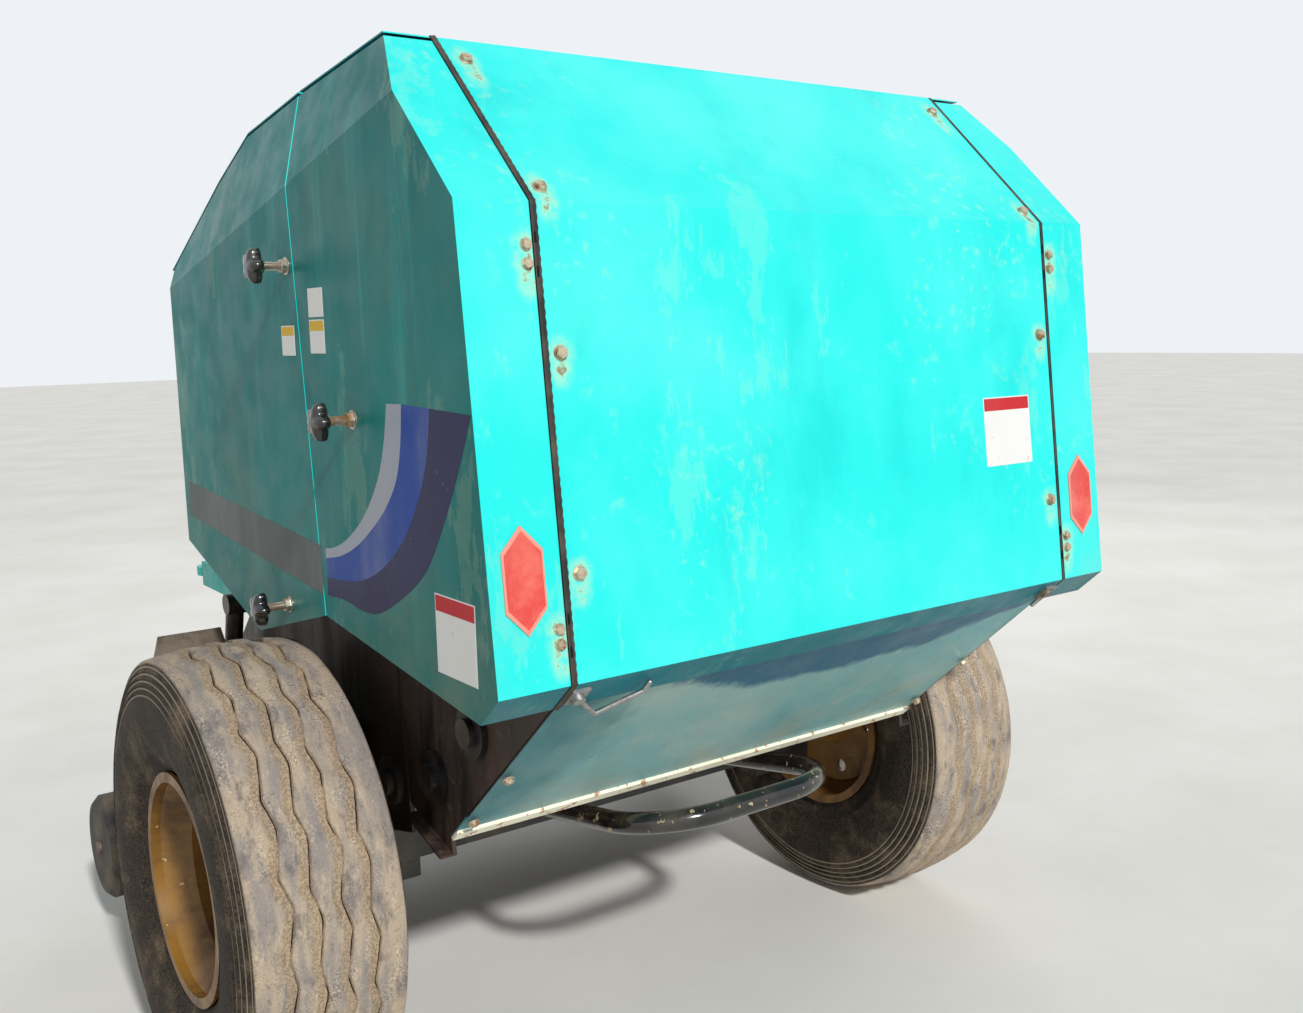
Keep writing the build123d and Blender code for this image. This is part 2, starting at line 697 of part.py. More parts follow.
def make_tyre():
    """An implement tyre: rounded crown, square shoulders and bulged sidewalls."""
    half = TREAD_WIDTH / 2
    bulge = SECTION_WIDTH / 2
    bead = RIM_WIDTH / 2
    inner = bead - 14
    belly = bulge - 16
    brow, brow_r = half + 8, TYRE_SHOULDER_R - 16
    foot_r = BEAD_R + 22
    path = [
        ThreePointArc((0, -half, TYRE_SHOULDER_R), (0, 0, TYRE_R), (0, half, TYRE_SHOULDER_R)),
        Line((0, half, TYRE_SHOULDER_R), (0, brow, brow_r)),
        ThreePointArc((0, brow, brow_r), (0, bulge, SECTION_R), (0, bead, foot_r)),
        Polyline((0, bead, foot_r), (0, bead, BEAD_R), (0, inner, BEAD_R), (0, belly, SECTION_R)),
        ThreePointArc((0, belly, SECTION_R), (0, 0, TYRE_R - 26), (0, -belly, SECTION_R)),
        Polyline((0, -belly, SECTION_R), (0, -inner, BEAD_R), (0, -bead, BEAD_R), (0, -bead, foot_r)),
        ThreePointArc((0, -bead, foot_r), (0, -bulge, SECTION_R), (0, -brow, brow_r)),
        Line((0, -brow, brow_r), (0, -half, TYRE_SHOULDER_R)),
    ]
    section = make_face(Wire([edge for piece in path for edge in piece.edges()]))
    return Pos(0, TRACK_HALF, AXLE_Z) * revolve(section, Axis.Y, 360)


def make_rim():
    """A deep well rim with its disc set towards the machine, and the hub."""
    edge = RIM_WIDTH / 2
    disc = -edge + DISC_INSET
    wall = RIM_WALL
    bore = SPINDLE_R + SPINDLE_GAP
    hub_in = disc - HUB_LENGTH * 0.6
    hub_out = disc + HUB_LENGTH * 0.5
    points = [
        (hub_in, bore),
        (hub_in, HUB_R * 0.7),
        (disc, HUB_R),
        (disc, RIM_WELL_R - wall),
        (-edge * 0.45, RIM_WELL_R - wall),
        (-edge + 12, BEAD_R - wall - 2),
        (-edge - wall, BEAD_R - wall - 2),
        (-edge - wall, BEAD_R + 10),
        (-edge, BEAD_R + 10),
        (-edge, BEAD_R),
        (-edge + 14, BEAD_R),
        (-edge * 0.4, RIM_WELL_R),
        (edge * 0.4, RIM_WELL_R),
        (edge - 14, BEAD_R),
        (edge, BEAD_R),
        (edge, BEAD_R + 10),
        (edge + wall, BEAD_R + 10),
        (edge + wall, BEAD_R - wall - 2),
        (edge - 12, BEAD_R - wall - 2),
        (edge * 0.45, RIM_WELL_R - wall),
        (disc + DISC_THICK, RIM_WELL_R - wall),
        (disc + DISC_THICK, HUB_R),
        (hub_out, HUB_R * 0.6),
        (hub_out, bore),
    ]
    rim = revolved(points, TRACK_HALF, AXLE_Z)
    hole_ring = (HUB_R + RIM_WELL_R) / 2 + wall
    for index in range(DISC_HOLES):
        turn = 2 * pi * (index + 0.5) / DISC_HOLES
        x, z = hole_ring * cos(turn), AXLE_Z + hole_ring * sin(turn)
        rim -= rod_y(x, z, DISC_HOLE_R, TRACK_HALF + disc - 1, TRACK_HALF + disc + DISC_THICK + 1)
    return rim


# Drawbar

def make_drawbar():
    """Two arms that meet in a tongue, with the ring for the tractor's hitch pin."""
    rear_x = CROSS_X + BOX_TUBE / 2
    tongue_half = TONGUE_W / 2
    low, high = TONGUE_Z - TONGUE_H / 2, TONGUE_Z + TONGUE_H / 2
    bar = block(TONGUE_REAR_X, HITCH_X - EYE_R, -tongue_half, tongue_half, low, high)
    for side in (1, -1):
        start = (rear_x - 30, side * ARM_REAR_Y, CROSS_Z - 9)
        end = (ARM_FRONT_X, side * ARM_FRONT_Y * 0.7, TONGUE_Z)
        arm = beam(start, end, ARM_W, ARM_H)
        bar += split(arm, bisect_by=Plane(origin=(rear_x, 0, 0), z_dir=(1, 0, 0)), keep=Keep.TOP)
    share = (TIE_X - rear_x) / (ARM_FRONT_X - rear_x)
    tie_z = CROSS_Z + (TONGUE_Z - CROSS_Z) * share
    tie_y = ARM_REAR_Y + (ARM_FRONT_Y * 0.7 - ARM_REAR_Y) * share
    bar += block(TIE_X - TIE / 2, TIE_X + TIE / 2, -tie_y, tie_y, tie_z - TIE / 2, tie_z + TIE / 2)
    low, high = TONGUE_Z - EYE_THICK / 2, TONGUE_Z + EYE_THICK / 2
    bar += block(HITCH_X - EYE_R * 2, HITCH_X, -tongue_half * 0.8, tongue_half * 0.8, low, high)
    bar += rod_z(HITCH_X, 0, EYE_R, low, high)
    bar -= rod_z(HITCH_X, 0, EYE_BORE_R, TONGUE_Z - EYE_THICK, TONGUE_Z + EYE_THICK)
    return bar


def make_jack():
    """The jack's outer tube with its bracket to the drawbar and crank, and its leg."""
    bracket = block(JACK_X - 30, JACK_X + 30, JACK_Y, -TONGUE_W / 2, TONGUE_Z - 30, TONGUE_Z + 30)
    tube = rod_z(JACK_X, JACK_Y, JACK_R, JACK_LOW, JACK_TOP)
    crank = rod_z(JACK_X, JACK_Y, 9, JACK_TOP - 2, JACK_TOP + 40)
    crank += rod_x(JACK_Y, JACK_TOP + 36, 9, JACK_X - 6, JACK_X + 120)
    crank += rod_z(JACK_X + 112, JACK_Y, 13, JACK_TOP + 30, JACK_TOP + 110)
    bore = rod_z(JACK_X, JACK_Y, JACK_R - JACK_WALL, JACK_LOW - 1, JACK_TOP - 12)
    housing = tube + bracket - bore + crank
    leg = rod_z(JACK_X, JACK_Y, JACK_R - JACK_WALL - JACK_GAP, FOOT_THICK, JACK_LOW + 120)
    leg += rod_z(JACK_X, JACK_Y, FOOT_R, 0, FOOT_THICK)
    return housing, leg


# Feed rotor and knives

def star_outline():
    """A feed star: hooked arms on a round core."""
    points = []
    step = 2 * pi / STAR_ARMS
    arm = ((0.0, 1.0), (0.1, 0.97), (0.34, 0.5), (0.62, 0.42), (0.88, 0.55))
    for index in range(STAR_ARMS):
        for turn, reach in arm:
            angle = (index + turn) * step
            points.append((ROTOR_X + ROTOR_R * reach * cos(angle), ROTOR_Z + ROTOR_R * reach * sin(angle)))
    return points


def make_rotor():
    """A shaft with feed stars along it."""
    half = WALL_IN - END_GAP
    rotor = rod_y(ROTOR_X, ROTOR_Z, ROTOR_CORE_R, -half, half)
    rotor += rod_y(ROTOR_X, ROTOR_Z, SHAFT_R, FEED_CHAIN_Y - 6, WALL_OUT + BEARING_DEPTH)
    rotor += rod_y(ROTOR_X, ROTOR_Z, FEED_SPROCKET_R - CHAIN_IN, FEED_CHAIN_Y - 4, FEED_CHAIN_Y + 4)
    pitch = 2 * half / ROTOR_STARS
    for index in range(ROTOR_STARS):
        y = -half + pitch * (index + 0.5)
        star = slab(star_outline(), y - STAR_THICK / 2, y + STAR_THICK / 2)
        spin = Rot(0, 30 if index % 2 else 0, 0)
        place = Pos(ROTOR_X, 0, ROTOR_Z)
        rotor += place * spin * place.inverse() * star
    return rotor


def arc_band(x, z, radius, thick, start, end, steps):
    """A bent strip round a centre, as straight facets between two angles."""
    turns = [radians(start + (end - start) * index / steps) for index in range(steps + 1)]
    inner = [(x + radius * cos(turn), z + radius * sin(turn)) for turn in turns]
    outer = [(x + (radius + thick) * cos(turn), z + (radius + thick) * sin(turn)) for turn in turns]
    return inner + outer[::-1]


def make_floor():
    """The curved floor under the feed rotor, with knives that stand up between the feed stars."""
    radius = ROTOR_R + FLOOR_GAP
    half = WALL_IN - END_GAP
    floor = slab(arc_band(ROTOR_X, ROTOR_Z, radius, FLOOR_THICK, 195, 302, 7), -WALL_IN, WALL_IN)
    blade = []
    foot, edge = radius + 2, ROTOR_R * 0.72
    corners = ((222, foot), (240, foot), (262, foot), (280, foot), (262, edge), (236, edge * 0.79))
    for turn, reach in corners:
        blade.append((ROTOR_X + reach * cos(radians(turn)), ROTOR_Z + reach * sin(radians(turn))))
    pitch = 2 * half / ROTOR_STARS
    for index in range(1, ROTOR_STARS):
        y = -half + pitch * index
        floor += slab(blade, y - KNIFE_THICK / 2, y + KNIFE_THICK / 2)
    return floor


# Pick-up

def make_pickup_frame():
    """The pick-up's end plates, rear wings, pivot arms and lower tube."""
    outer = PICKUP_HALF
    inner = PICKUP_HALF - PICKUP_WALL
    back = shifted(PICKUP_PIVOT, WING_FROM_PIVOT)
    wing = slab(back + inset_line(back, -PICKUP_WALL)[::-1], WING_Y, inner)
    below = shifted(PICKUP_PIVOT, PLATE_FROM_PIVOT) + shifted(LOWER_TUBE, PLATE_FROM_TUBE)
    side = slab(back + below + shifted(REEL, PLATE_FROM_REEL), inner, outer)
    arm_out = ARM_Y + ARM_PLATE
    x, z = PICKUP_PIVOT
    arm = slab(shifted(PICKUP_PIVOT, ARM_FROM_PIVOT), ARM_Y, arm_out)
    arm += rod_y(x, z, PICKUP_PIN_R + 10, ARM_Y - 4, ARM_Y + 1)
    arm -= rod_y(x, z, PICKUP_PIN_R + PIN_GAP, ARM_Y - 5, arm_out + 1)
    axle = rod_y(GAUGE_X, GAUGE_Z, GAUGE_AXLE_R, inner, GAUGE_Y + GAUGE_WIDTH / 2 + 6)
    lug = rod_y(LIFT_EYE[0], LIFT_EYE[1], 20, arm_out - 1, LIFT_Y - LIFT_ROD_R * 2 - EYE_GAP)
    half = side + wing + arm + axle
    tube = rod_y(LOWER_TUBE[0], LOWER_TUBE[1], LOWER_TUBE_R, -inner - 1, inner + 1)
    x, z = BAND_CARRIER
    carrier = block(x - 4, x + 4, -inner - 1, inner + 1, z - 14, z + 6)
    return half + opposite(half) + tube + carrier + lug


def make_bands():
    """Bent strips between the rows of tines, from the bar behind them round to the lower tube."""
    x, z = BAND_CARRIER
    steps = 8
    turns = [radians(90.0 - 195.0 * index / steps) for index in range(steps + 1)]
    line = [(x + 4, z), (x + 30, z), (REEL[0] - 40, REEL[1] + BAND_R)]
    line += [(REEL[0] + BAND_R * cos(turn), REEL[1] + BAND_R * sin(turn)) for turn in turns]
    line.append(LOWER_TUBE)
    outline = line + inset_line(line, BAND_STRIP_THICK)[::-1]
    tube = rod_y(LOWER_TUBE[0], LOWER_TUBE[1], LOWER_TUBE_R, -BAND_STRIP, BAND_STRIP)
    band = slab(outline, -BAND_STRIP / 2, BAND_STRIP / 2) - tube
    places = [(index - (TINE_COUNT - 2) / 2) * TINE_PITCH for index in range(TINE_COUNT - 1)]
    return [Pos(0, y, 0) * band for y in places]


def tine_outline():
    """A tine in side view: out from its bar, then swept back to its tip."""
    reach = TINE_TIP_R - TINE_BAR_R
    bends = ((0.0, 0.0), (0.5, 0.05), (0.8, -0.04), (0.94, -0.24))
    line = [(TINE_BAR_R + reach * out, reach * across) for out, across in bends]
    return inset_line(line, TINE_SIDE / 2) + inset_line(line, -TINE_SIDE / 2)[::-1]


def coil_outline():
    """The spring coil at a tine's foot, as an octagon round its bar."""
    turns = [pi / 8 + pi / 4 * index for index in range(8)]
    return [(TINE_BAR_R + TINE_COIL_R * cos(turn), TINE_COIL_R * sin(turn)) for turn in turns]


def make_reel():
    """The tined reel: shaft, end discs, bars and rows of tines."""
    half = PICKUP_HALF - PICKUP_WALL - END_GAP
    reel = rod_y(REEL[0], REEL[1], 24, -half, half)
    disc_y = half - 24
    for side in (1, -1):
        reel += rod_y(REEL[0], REEL[1], TINE_BAR_R + 18, side * disc_y, side * (disc_y - 8))
    side = BAR_SIDE / 2
    row = block(TINE_BAR_R - side, TINE_BAR_R + side, -disc_y + 4, disc_y - 4, -side, side)
    coil = slab(coil_outline(), TINE_SIDE / 2 - TINE_COIL_WIDTH, TINE_SIDE / 2)
    tine = slab(tine_outline(), -TINE_SIDE / 2, TINE_SIDE / 2) + coil
    places = [(index - (TINE_COUNT - 1) / 2) * TINE_PITCH for index in range(TINE_COUNT)]
    row += [Pos(0, y, 0) * tine for y in places]
    for bar in range(BAR_COUNT):
        reel += Pos(REEL[0], 0, REEL[1]) * Rot(0, 360 / BAR_COUNT * bar, 0) * row
    return reel


def make_gauge_wheel():
    """A small solid wheel that carries the pick-up over the ground."""
    half = GAUGE_WIDTH / 2
    bore = GAUGE_AXLE_R + SPINDLE_GAP
    wheel = rod_y(GAUGE_X, GAUGE_Z, GAUGE_R, GAUGE_Y - half, GAUGE_Y + half)
    wheel = chamfer(wheel.edges().filter_by(GeomType.CIRCLE), 14)
    return wheel - rod_y(GAUGE_X, GAUGE_Z, bore, GAUGE_Y - half - 1, GAUGE_Y + half + 1)


def make_wind_guard():
    """A tube with long fingers that hold the crop down over the pick-up."""
    guard = rod_y(GUARD_PIVOT[0], GUARD_PIVOT[1], GUARD_TUBE_R, -GUARD_HALF, GUARD_HALF)
    line = shifted(GUARD_PIVOT, ((0.0, 0.0), GUARD_BEND, GUARD_TIP))
    outline = inset_line(line, GUARD_FINGER_R) + inset_line(line, -GUARD_FINGER_R)[::-1]
    finger = slab(outline, -GUARD_FINGER_R, GUARD_FINGER_R)
    outermost = GUARD_HALF - 30
    pitch = 2 * outermost / (GUARD_FINGERS - 1)
    return guard + [Pos(0, pitch * index - outermost, 0) * finger for index in range(GUARD_FINGERS)]


# Front panels, net box and drive

def make_front_panel():
    """The sheet that closes the front between the walls."""
    low = CROSS_Z + BOX_TUBE / 2
    return block(WALL_FRONT_X - SHEET, WALL_FRONT_X, -WALL_IN, WALL_IN, low, roof_under(WALL_FRONT_X))


def make_net_box():
    """An open tray in front of the chamber for the net roll, on two brackets."""
    outer = block(NET_REAR_X, NET_FRONT_X, -NET_HALF, NET_HALF, NET_LOW_Z, NET_TOP_Z)
    inner = NET_HALF - SHEET
    room = block(NET_REAR_X + SHEET, NET_FRONT_X + 1, -inner, inner, NET_LOW_Z + SHEET, NET_TOP_Z + 1)
    back, down = NET_FRONT_X - NET_CUT[0], NET_TOP_Z - NET_CUT[1]
    corner = [(back, NET_TOP_Z + 1), (NET_FRONT_X + 1, NET_TOP_Z + 1), (NET_FRONT_X + 1, down)]
    box = outer - room - slab(corner, -NET_HALF - 1, NET_HALF + 1)
    front_lip = block(NET_FRONT_X - SHEET, NET_FRONT_X, -NET_HALF, NET_HALF, NET_LOW_Z, NET_LOW_Z + NET_LIP)
    box += front_lip
    for side in (1, -1):
        box += block(WALL_FRONT_X, NET_REAR_X + 1, side * 380, side * 440, NET_LOW_Z + 40, NET_TOP_Z - 40)
    for knuckle in make_lid_hinges():
        box += knuckle
    return box


def make_net_lid():
    """A bent lid over the top and front of the net box."""
    half = NET_HALF + SHEET + LID_GAP
    top = NET_TOP_Z + LID_GAP + SHEET
    front = NET_FRONT_X + LID_GAP + 2 * SHEET
    low = NET_LOW_Z + NET_LIP / 2
    start = NET_HINGE_X + 12
    back, down = front - NET_CUT[0] * 0.8, top - NET_CUT[1] * 0.8
    line = [(start, top + SHEET), (back, top + SHEET), (front, down), (front, low)]
    lid = slab(line + inset_line(line, SHEET)[::-1], -half, half)
    for side in (1, -1):
        y0, y1 = side * (half - 120), side * (half - 60)
        lid += rod_y(NET_HINGE_X, top + 2, 8, y0, y1)
        lid += block(NET_HINGE_X, start + 4, y0, y1, top, top + SHEET)
    return lid


def make_lid_hinges():
    """Barrels on the box's rear edge for the lid's hinge."""
    half = NET_HALF + SHEET + LID_GAP
    top = NET_TOP_Z + LID_GAP + SHEET
    hinges = []
    for side in (1, -1):
        y0, y1 = side * (half - 60 + HINGE_GAP), side * (half - 30)
        knuckle = rod_y(NET_HINGE_X, top + 2, 8, y0, y1)
        knuckle += block(NET_REAR_X, NET_HINGE_X, y0, y1, NET_TOP_Z - 4, top + 2)
        knuckle += block(NET_REAR_X, NET_REAR_X + SHEET, y0, y1, NET_TOP_Z - 30, NET_TOP_Z)
        hinges.append(knuckle)
    return hinges


def make_gearbox():
    """The gearbox on the cross tube, its input shaft to the front and its shaft to the right."""
    rear = CROSS_X + BOX_TUBE / 2
    half = GEARBOX_HALF
    case = block(WALL_FRONT_X, GEARBOX_FRONT_X - 25, -half, half, GEARBOX_LOW_Z, GEARBOX_TOP_Z)
    case = chamfer(case.edges().filter_by(Axis.X), 20)
    foot = GEARBOX_HALF - 22
    case += block(rear, WALL_FRONT_X + 1, -foot, foot, GEARBOX_LOW_Z + 4, CROSS_Z + BOX_TUBE / 2 - 2)
    case += rod_x(0, INPUT_Z, 58, GEARBOX_FRONT_X - 26, GEARBOX_FRONT_X)
    case += rod_x(0, INPUT_Z, INPUT_R, GEARBOX_FRONT_X - 1, GEARBOX_FRONT_X + INPUT_LENGTH)
    case += rod_y(DRIVE_X, DRIVE_Z, SHAFT_R, -GEARBOX_HALF + 1, ROLLER_CHAIN_Y - 10)
    for y in (FEED_CHAIN_Y, ROLLER_CHAIN_Y):
        case += rod_y(DRIVE_X, DRIVE_Z, DRIVE_SPROCKET_R - CHAIN_IN, y - 4, y + 4)
    case += rod_y(DRIVE_X, DRIVE_Z, 46, -GEARBOX_HALF + 1, -GEARBOX_HALF - 30)
    return case


def make_input_guard():
    """A bent plate over the input shaft."""
    half = INPUT_GUARD_HALF
    inside = half - INPUT_GUARD_THICK
    x0, x1 = GEARBOX_FRONT_X - 60, GEARBOX_FRONT_X + 150
    outer = block(x0, x1, -half, half, INPUT_Z - 20, INPUT_Z + half)
    outer = chamfer(outer.edges().filter_by(Axis.X).group_by(Axis.Z)[-1], INPUT_GUARD_CUT)
    inner = block(x0 - 1, x1 + 1, -inside, inside, INPUT_Z - 21, INPUT_Z + inside)
    inner = chamfer(inner.edges().filter_by(Axis.X).group_by(Axis.Z)[-1], INPUT_GUARD_CUT - 2)
    guard = outer - inner
    for side in (1, -1):
        guard += block(x0 + 5, x0 + 34, side * GEARBOX_HALF, side * (half - 2), INPUT_Z - 15, INPUT_Z + 15)
    return guard


def chain_loop(start, end, start_r, end_r, y):
    """A closed chain round two sprockets, as an open band."""
    rings = []
    for grow in (CHAIN_OUT, CHAIN_GAP - CHAIN_IN):
        circles = Pos(*start) * Circle(start_r + grow) + Pos(*end) * Circle(end_r + grow)
        rings.append(make_hull(circles.edges()))
    loop = extrude(rings[0] - rings[1], amount=CHAIN_WIDTH / 2, both=True)
    return Pos(0, y, 0) * Rot(90, 0, 0) * loop


def make_drive():
    """Two chains in the right side bay and the sprocket on the driven roller."""
    drive = (DRIVE_X, DRIVE_Z)
    x, z = roller_place(DRIVEN_ANGLE)
    sprocket = rod_y(x, z, ROLLER_SPROCKET_R - CHAIN_IN, ROLLER_CHAIN_Y - 4, ROLLER_CHAIN_Y + 4)
    sprocket += rod_y(x, z, 14, ROLLER_CHAIN_Y - 8, -WALL_OUT - BEARING_DEPTH)
    return [
        chain_loop(drive, (ROTOR_X, ROTOR_Z), DRIVE_SPROCKET_R, FEED_SPROCKET_R, FEED_CHAIN_Y),
        chain_loop(drive, (x, z), DRIVE_SPROCKET_R, ROLLER_SPROCKET_R, ROLLER_CHAIN_Y),
        sprocket,
    ]


# Cylinders

def cylinder_pair(foot, eye, y, radius, rod_r, stroke):
    """A hydraulic cylinder between two points: its barrel with foot eye, and its rod with eye."""
    along = Vector(eye[0] - foot[0], 0, eye[1] - foot[1])
    length = along.length
    unit = along.normalized()
    base = Vector(foot[0], y, foot[1])
    barrel_end = length - rod_r * 5
    gland = base + unit * barrel_end
    tail = base + unit * (barrel_end - stroke - rod_r * 2)
    barrel = rod_between(base + unit * 10, gland, radius)
    barrel -= rod_between(tail - unit * 6, gland + unit * 5, rod_r + END_GAP)
    half = radius + EYE_SIDE
    barrel += rod_y(foot[0], foot[1], radius + 4, y - half, y + half)
    half = rod_r + EYE_SIDE
    rod = rod_y(eye[0], eye[1], rod_r + 12, y - half, y + half)
    rod += rod_between(tail, Vector(eye[0], y, eye[1]) - unit * (rod_r + 4), rod_r)
    rod += rod_y(eye[0], eye[1], rod_r * 0.8, y - rod_r * 2, y - rod_r)
    return barrel, rod


def turned(point, centre, angle):
    """A point in (x, z) after the gate has opened by an angle about its hinge."""
    x, z = point[0] - centre[0], point[1] - centre[1]
    turn = radians(angle)
    return (centre[0] + x * cos(turn) + z * sin(turn), centre[1] - x * sin(turn) + z * cos(turn))


def stroke_of(foot, eye, centre, angle):
    """How far a cylinder lengthens when its eye turns about a hinge by an angle."""
    far = turned(eye, centre, angle)
    return hypot(far[0] - foot[0], far[1] - foot[1]) - hypot(eye[0] - foot[0], eye[1] - foot[1])


# Bow, knobs, reflectors and latches

def make_bow():
    """A bent tube under the tail, from the axle back and across."""
    front_x = -AXLE_SQUARE / 2
    front_z = AXLE_Z + 10
    left, right = BOW_MID_Y + BOW_HALF, BOW_MID_Y - BOW_HALF
    path = FilletPolyline(
        (front_x, left, front_z),
        (BOW_X, left, BOW_Z),
        (BOW_X, right, BOW_Z),
        (front_x, right, front_z),
        radius=BOW_CORNER,
    )
    start = Plane(origin=path @ 0, z_dir=path % 0)
    bow = sweep(start * Circle(BOW_R), path=path)
    return split(bow, bisect_by=Plane(origin=(front_x, 0, 0), z_dir=(-1, 0, 0)), keep=Keep.TOP)


def make_knob(x, z):
    """A cover knob: a threaded stem with a cross bar, standing out to the left."""
    face = HALF_WIDTH
    stem = rod_y(x, z, 7, face, face + 52)
    collar = rod_y(x, z, 14, face, face + 12)
    bar = rod_z(x, face + 58, 11, z - 34, z + 34)
    return stem + collar + bar


def make_reflector():
    """A six-sided reflector on the rear strip of a side cover."""
    lean = (REAR_HIGH[0] - REAR_LOW[0]) / (REAR_HIGH[1] - REAR_LOW[1])
    low, high = REFLECTOR_Z
    start = (REAR_LOW[0] + (low - REAR_LOW[1]) * lean, REFLECTOR_Y, low)
    face = Plane(origin=start, x_dir=(0, -1, 0), z_dir=(-1, 0, lean))
    half, cut, tall = REFLECTOR_HALF, REFLECTOR_CUT, high - low
    corners = [(0, 0), (half, cut), (half, tall - cut), (0, tall), (-half, tall - cut), (-half, cut)]
    return extrude(face * make_face(Polyline(*corners, close=True)), amount=SHEET)


def make_latches():
    """Two latches on the tail's lip, the left with its long bent lever, the right with a hook."""
    x, z = along_line(REAR_LOW, LOWER_END, LIP_LENGTH / 2)
    outward = Vector(LOWER_END[1] - REAR_LOW[1], 0, REAR_LOW[0] - LOWER_END[0]).normalized()
    width, length, thick = LATCH_SIZE
    latches = []
    for side, path in ((1, LATCH_LEVER), (-1, LATCH_HOOK)):
        y = side * (STRIP_Y - STRIP_SEAM / 2 - width / 2 - 1)
        face = Plane(origin=(x, y, z), x_dir=(0, -side, 0), z_dir=outward)
        latch = extrude(face * Rectangle(width, length), amount=thick)
        latch += extrude(face * Circle(width / 3), amount=path[1][2])
        bends = [face.from_local_coords((across, -side * along, out)) for across, along, out in path]
        for start, end in zip(bends, bends[1:]):
            latch += rod_between(start, end, LATCH_LEVER_R)
            latch += Pos(end) * Sphere(LATCH_LEVER_R)
        latches.append(latch)
    return latches


# Hinges of doors and covers

def make_door_barrels():
    """Barrels inside the left door's front edge, round the frame's hinge pins."""
    barrels = []
    for z in DOOR_HINGE_Z:
        barrel = rod_z(DOOR_AXIS_X, DOOR_AXIS_Y, DOOR_BARREL_R + 0.5, z + HINGE_GAP, z + HINGE_LENGTH)
        barrel &= block(0, DOOR_FRONT_X + 9, 0, HALF_WIDTH - 1, 0, z * 2)
        barrel -= rod_z(DOOR_AXIS_X, DOOR_AXIS_Y, DOOR_PIN_R + PIN_GAP, z - 1, z + HINGE_LENGTH + 1)
        barrels.append(barrel)
    return barrels


def make_door_brackets():
    """Arms on the left front wall with the pins that the door hangs on."""
    brackets = []
    for z in DOOR_HINGE_Z:
        arm = block(WALL_FRONT_X - 30, DOOR_AXIS_X + 4, WALL_OUT, DOOR_AXIS_Y, z - 6, z)
        arm += rod_z(DOOR_AXIS_X, DOOR_AXIS_Y, DOOR_PIN_R + 2, z - 6, z)
        arm += rod_z(DOOR_AXIS_X, DOOR_AXIS_Y, DOOR_PIN_R, z - 6, z + HINGE_LENGTH + 5)
        brackets.append(arm)
    return brackets


def cover_axis(z):
    """A point on the left cover's hinge axis, in the middle of the tail's sheet."""
    lean = (REAR_HIGH[0] - REAR_LOW[0]) / (REAR_HIGH[1] - REAR_LOW[1])
    return Vector(REAR_LOW[0] + (z - REAR_LOW[1]) * lean + SHEET / 2, STRIP_Y, z)


def cover_barrel(z0, z1, radius):
    """A round bar along the cover's hinge axis between two heights."""
    return rod_between(cover_axis(z0), cover_axis(z1), radius)


def hinge_flat(z0, z1, back, front):
    """A slanted strip along the cover's hinge axis, in (x, z)."""
    low, high = cover_axis(z0), cover_axis(z1)
    return [(low.X - back, z0), (low.X + front, z0), (high.X + front, z1), (high.X - back, z1)]


def make_cover_barrels():
    """Barrels on the left cover's inner edge, above and below the gate's barrels."""
    barrels = []
    half = HINGE_LENGTH / 2 + HINGE_GAP
    tab = SHEET / 2 - 0.1
    for z in COVER_HINGE_Z:
        for z0, z1 in ((z + half, z + HINGE_LENGTH), (z - HINGE_LENGTH, z - half)):
            barrel = cover_barrel(z0, z1, COVER_BARREL_R)
            barrel += slab(hinge_flat(z0, z1, tab, tab), STRIP_Y + 1, STRIP_Y + STRIP_SEAM / 2 + 1)
            barrels.append(barrel - cover_barrel(z0 - 1, z1 + 1, COVER_PIN_R + PIN_GAP))
    return barrels


def cover_hinge_room():
    """Room in the left gate wall for the barrels on the cover."""
    half = HINGE_LENGTH + HINGE_GAP + 1
    lower, upper = [cover_barrel(z - half, z + half, COVER_BARREL_R + 1) for z in COVER_HINGE_Z]
    return lower + upper


def make_cover_leaves():
    """Leaves on the left gate wall that reach through the seam to the cover's hinge axis."""
    leaves = []
    half = HINGE_LENGTH / 2
    for z in COVER_HINGE_Z:
        leaf = slab(hinge_flat(z - half + 1, z + half - 1, 0, COVER_LEAF), WALL_OUT - 1, WALL_OUT + SHEET)
        leaf += cover_barrel(z - half, z + half, COVER_BARREL_R)
        leaf += cover_barrel(z - HINGE_LENGTH, z + HINGE_LENGTH, COVER_PIN_R)
        leaves.append(leaf)
    return leaves


# Placing and writing

def solids_of(shape):
    """The separate solids of a shape or list of shapes."""
    if isinstance(shape, (list, tuple)):
        return [solid for piece in shape for solid in piece.solids()]
    return list(shape.solids())


def keep_pair(parts, name, left):
    """Adds a left piece and its mirror image to the parts."""
    parts[f"{name}_left"] = left
    parts[f"{name}_right"] = [opposite(solid) for solid in solids_of(left)]


def write_all(parts):
    """Moves every piece so that the origin is the centre of the machine's base, and writes it."""
    solids = {name: solids_of(shape) for name, shape in parts.items()}
    outermost = solids["panel_latches"] + solids["gate_cover_left"] + solids["drawbar"]
    boxes = [solid.bounding_box() for solid in outermost]
    middle = (min(box.min.X for box in boxes) + max(box.max.X for box in boxes)) / 2
    place = Pos(-middle, 0, 0)
    for name, group in solids.items():
        moved = [place * solid for solid in group]
        export_step(Compound(children=moved, label=name), f"parts/{name}.step")


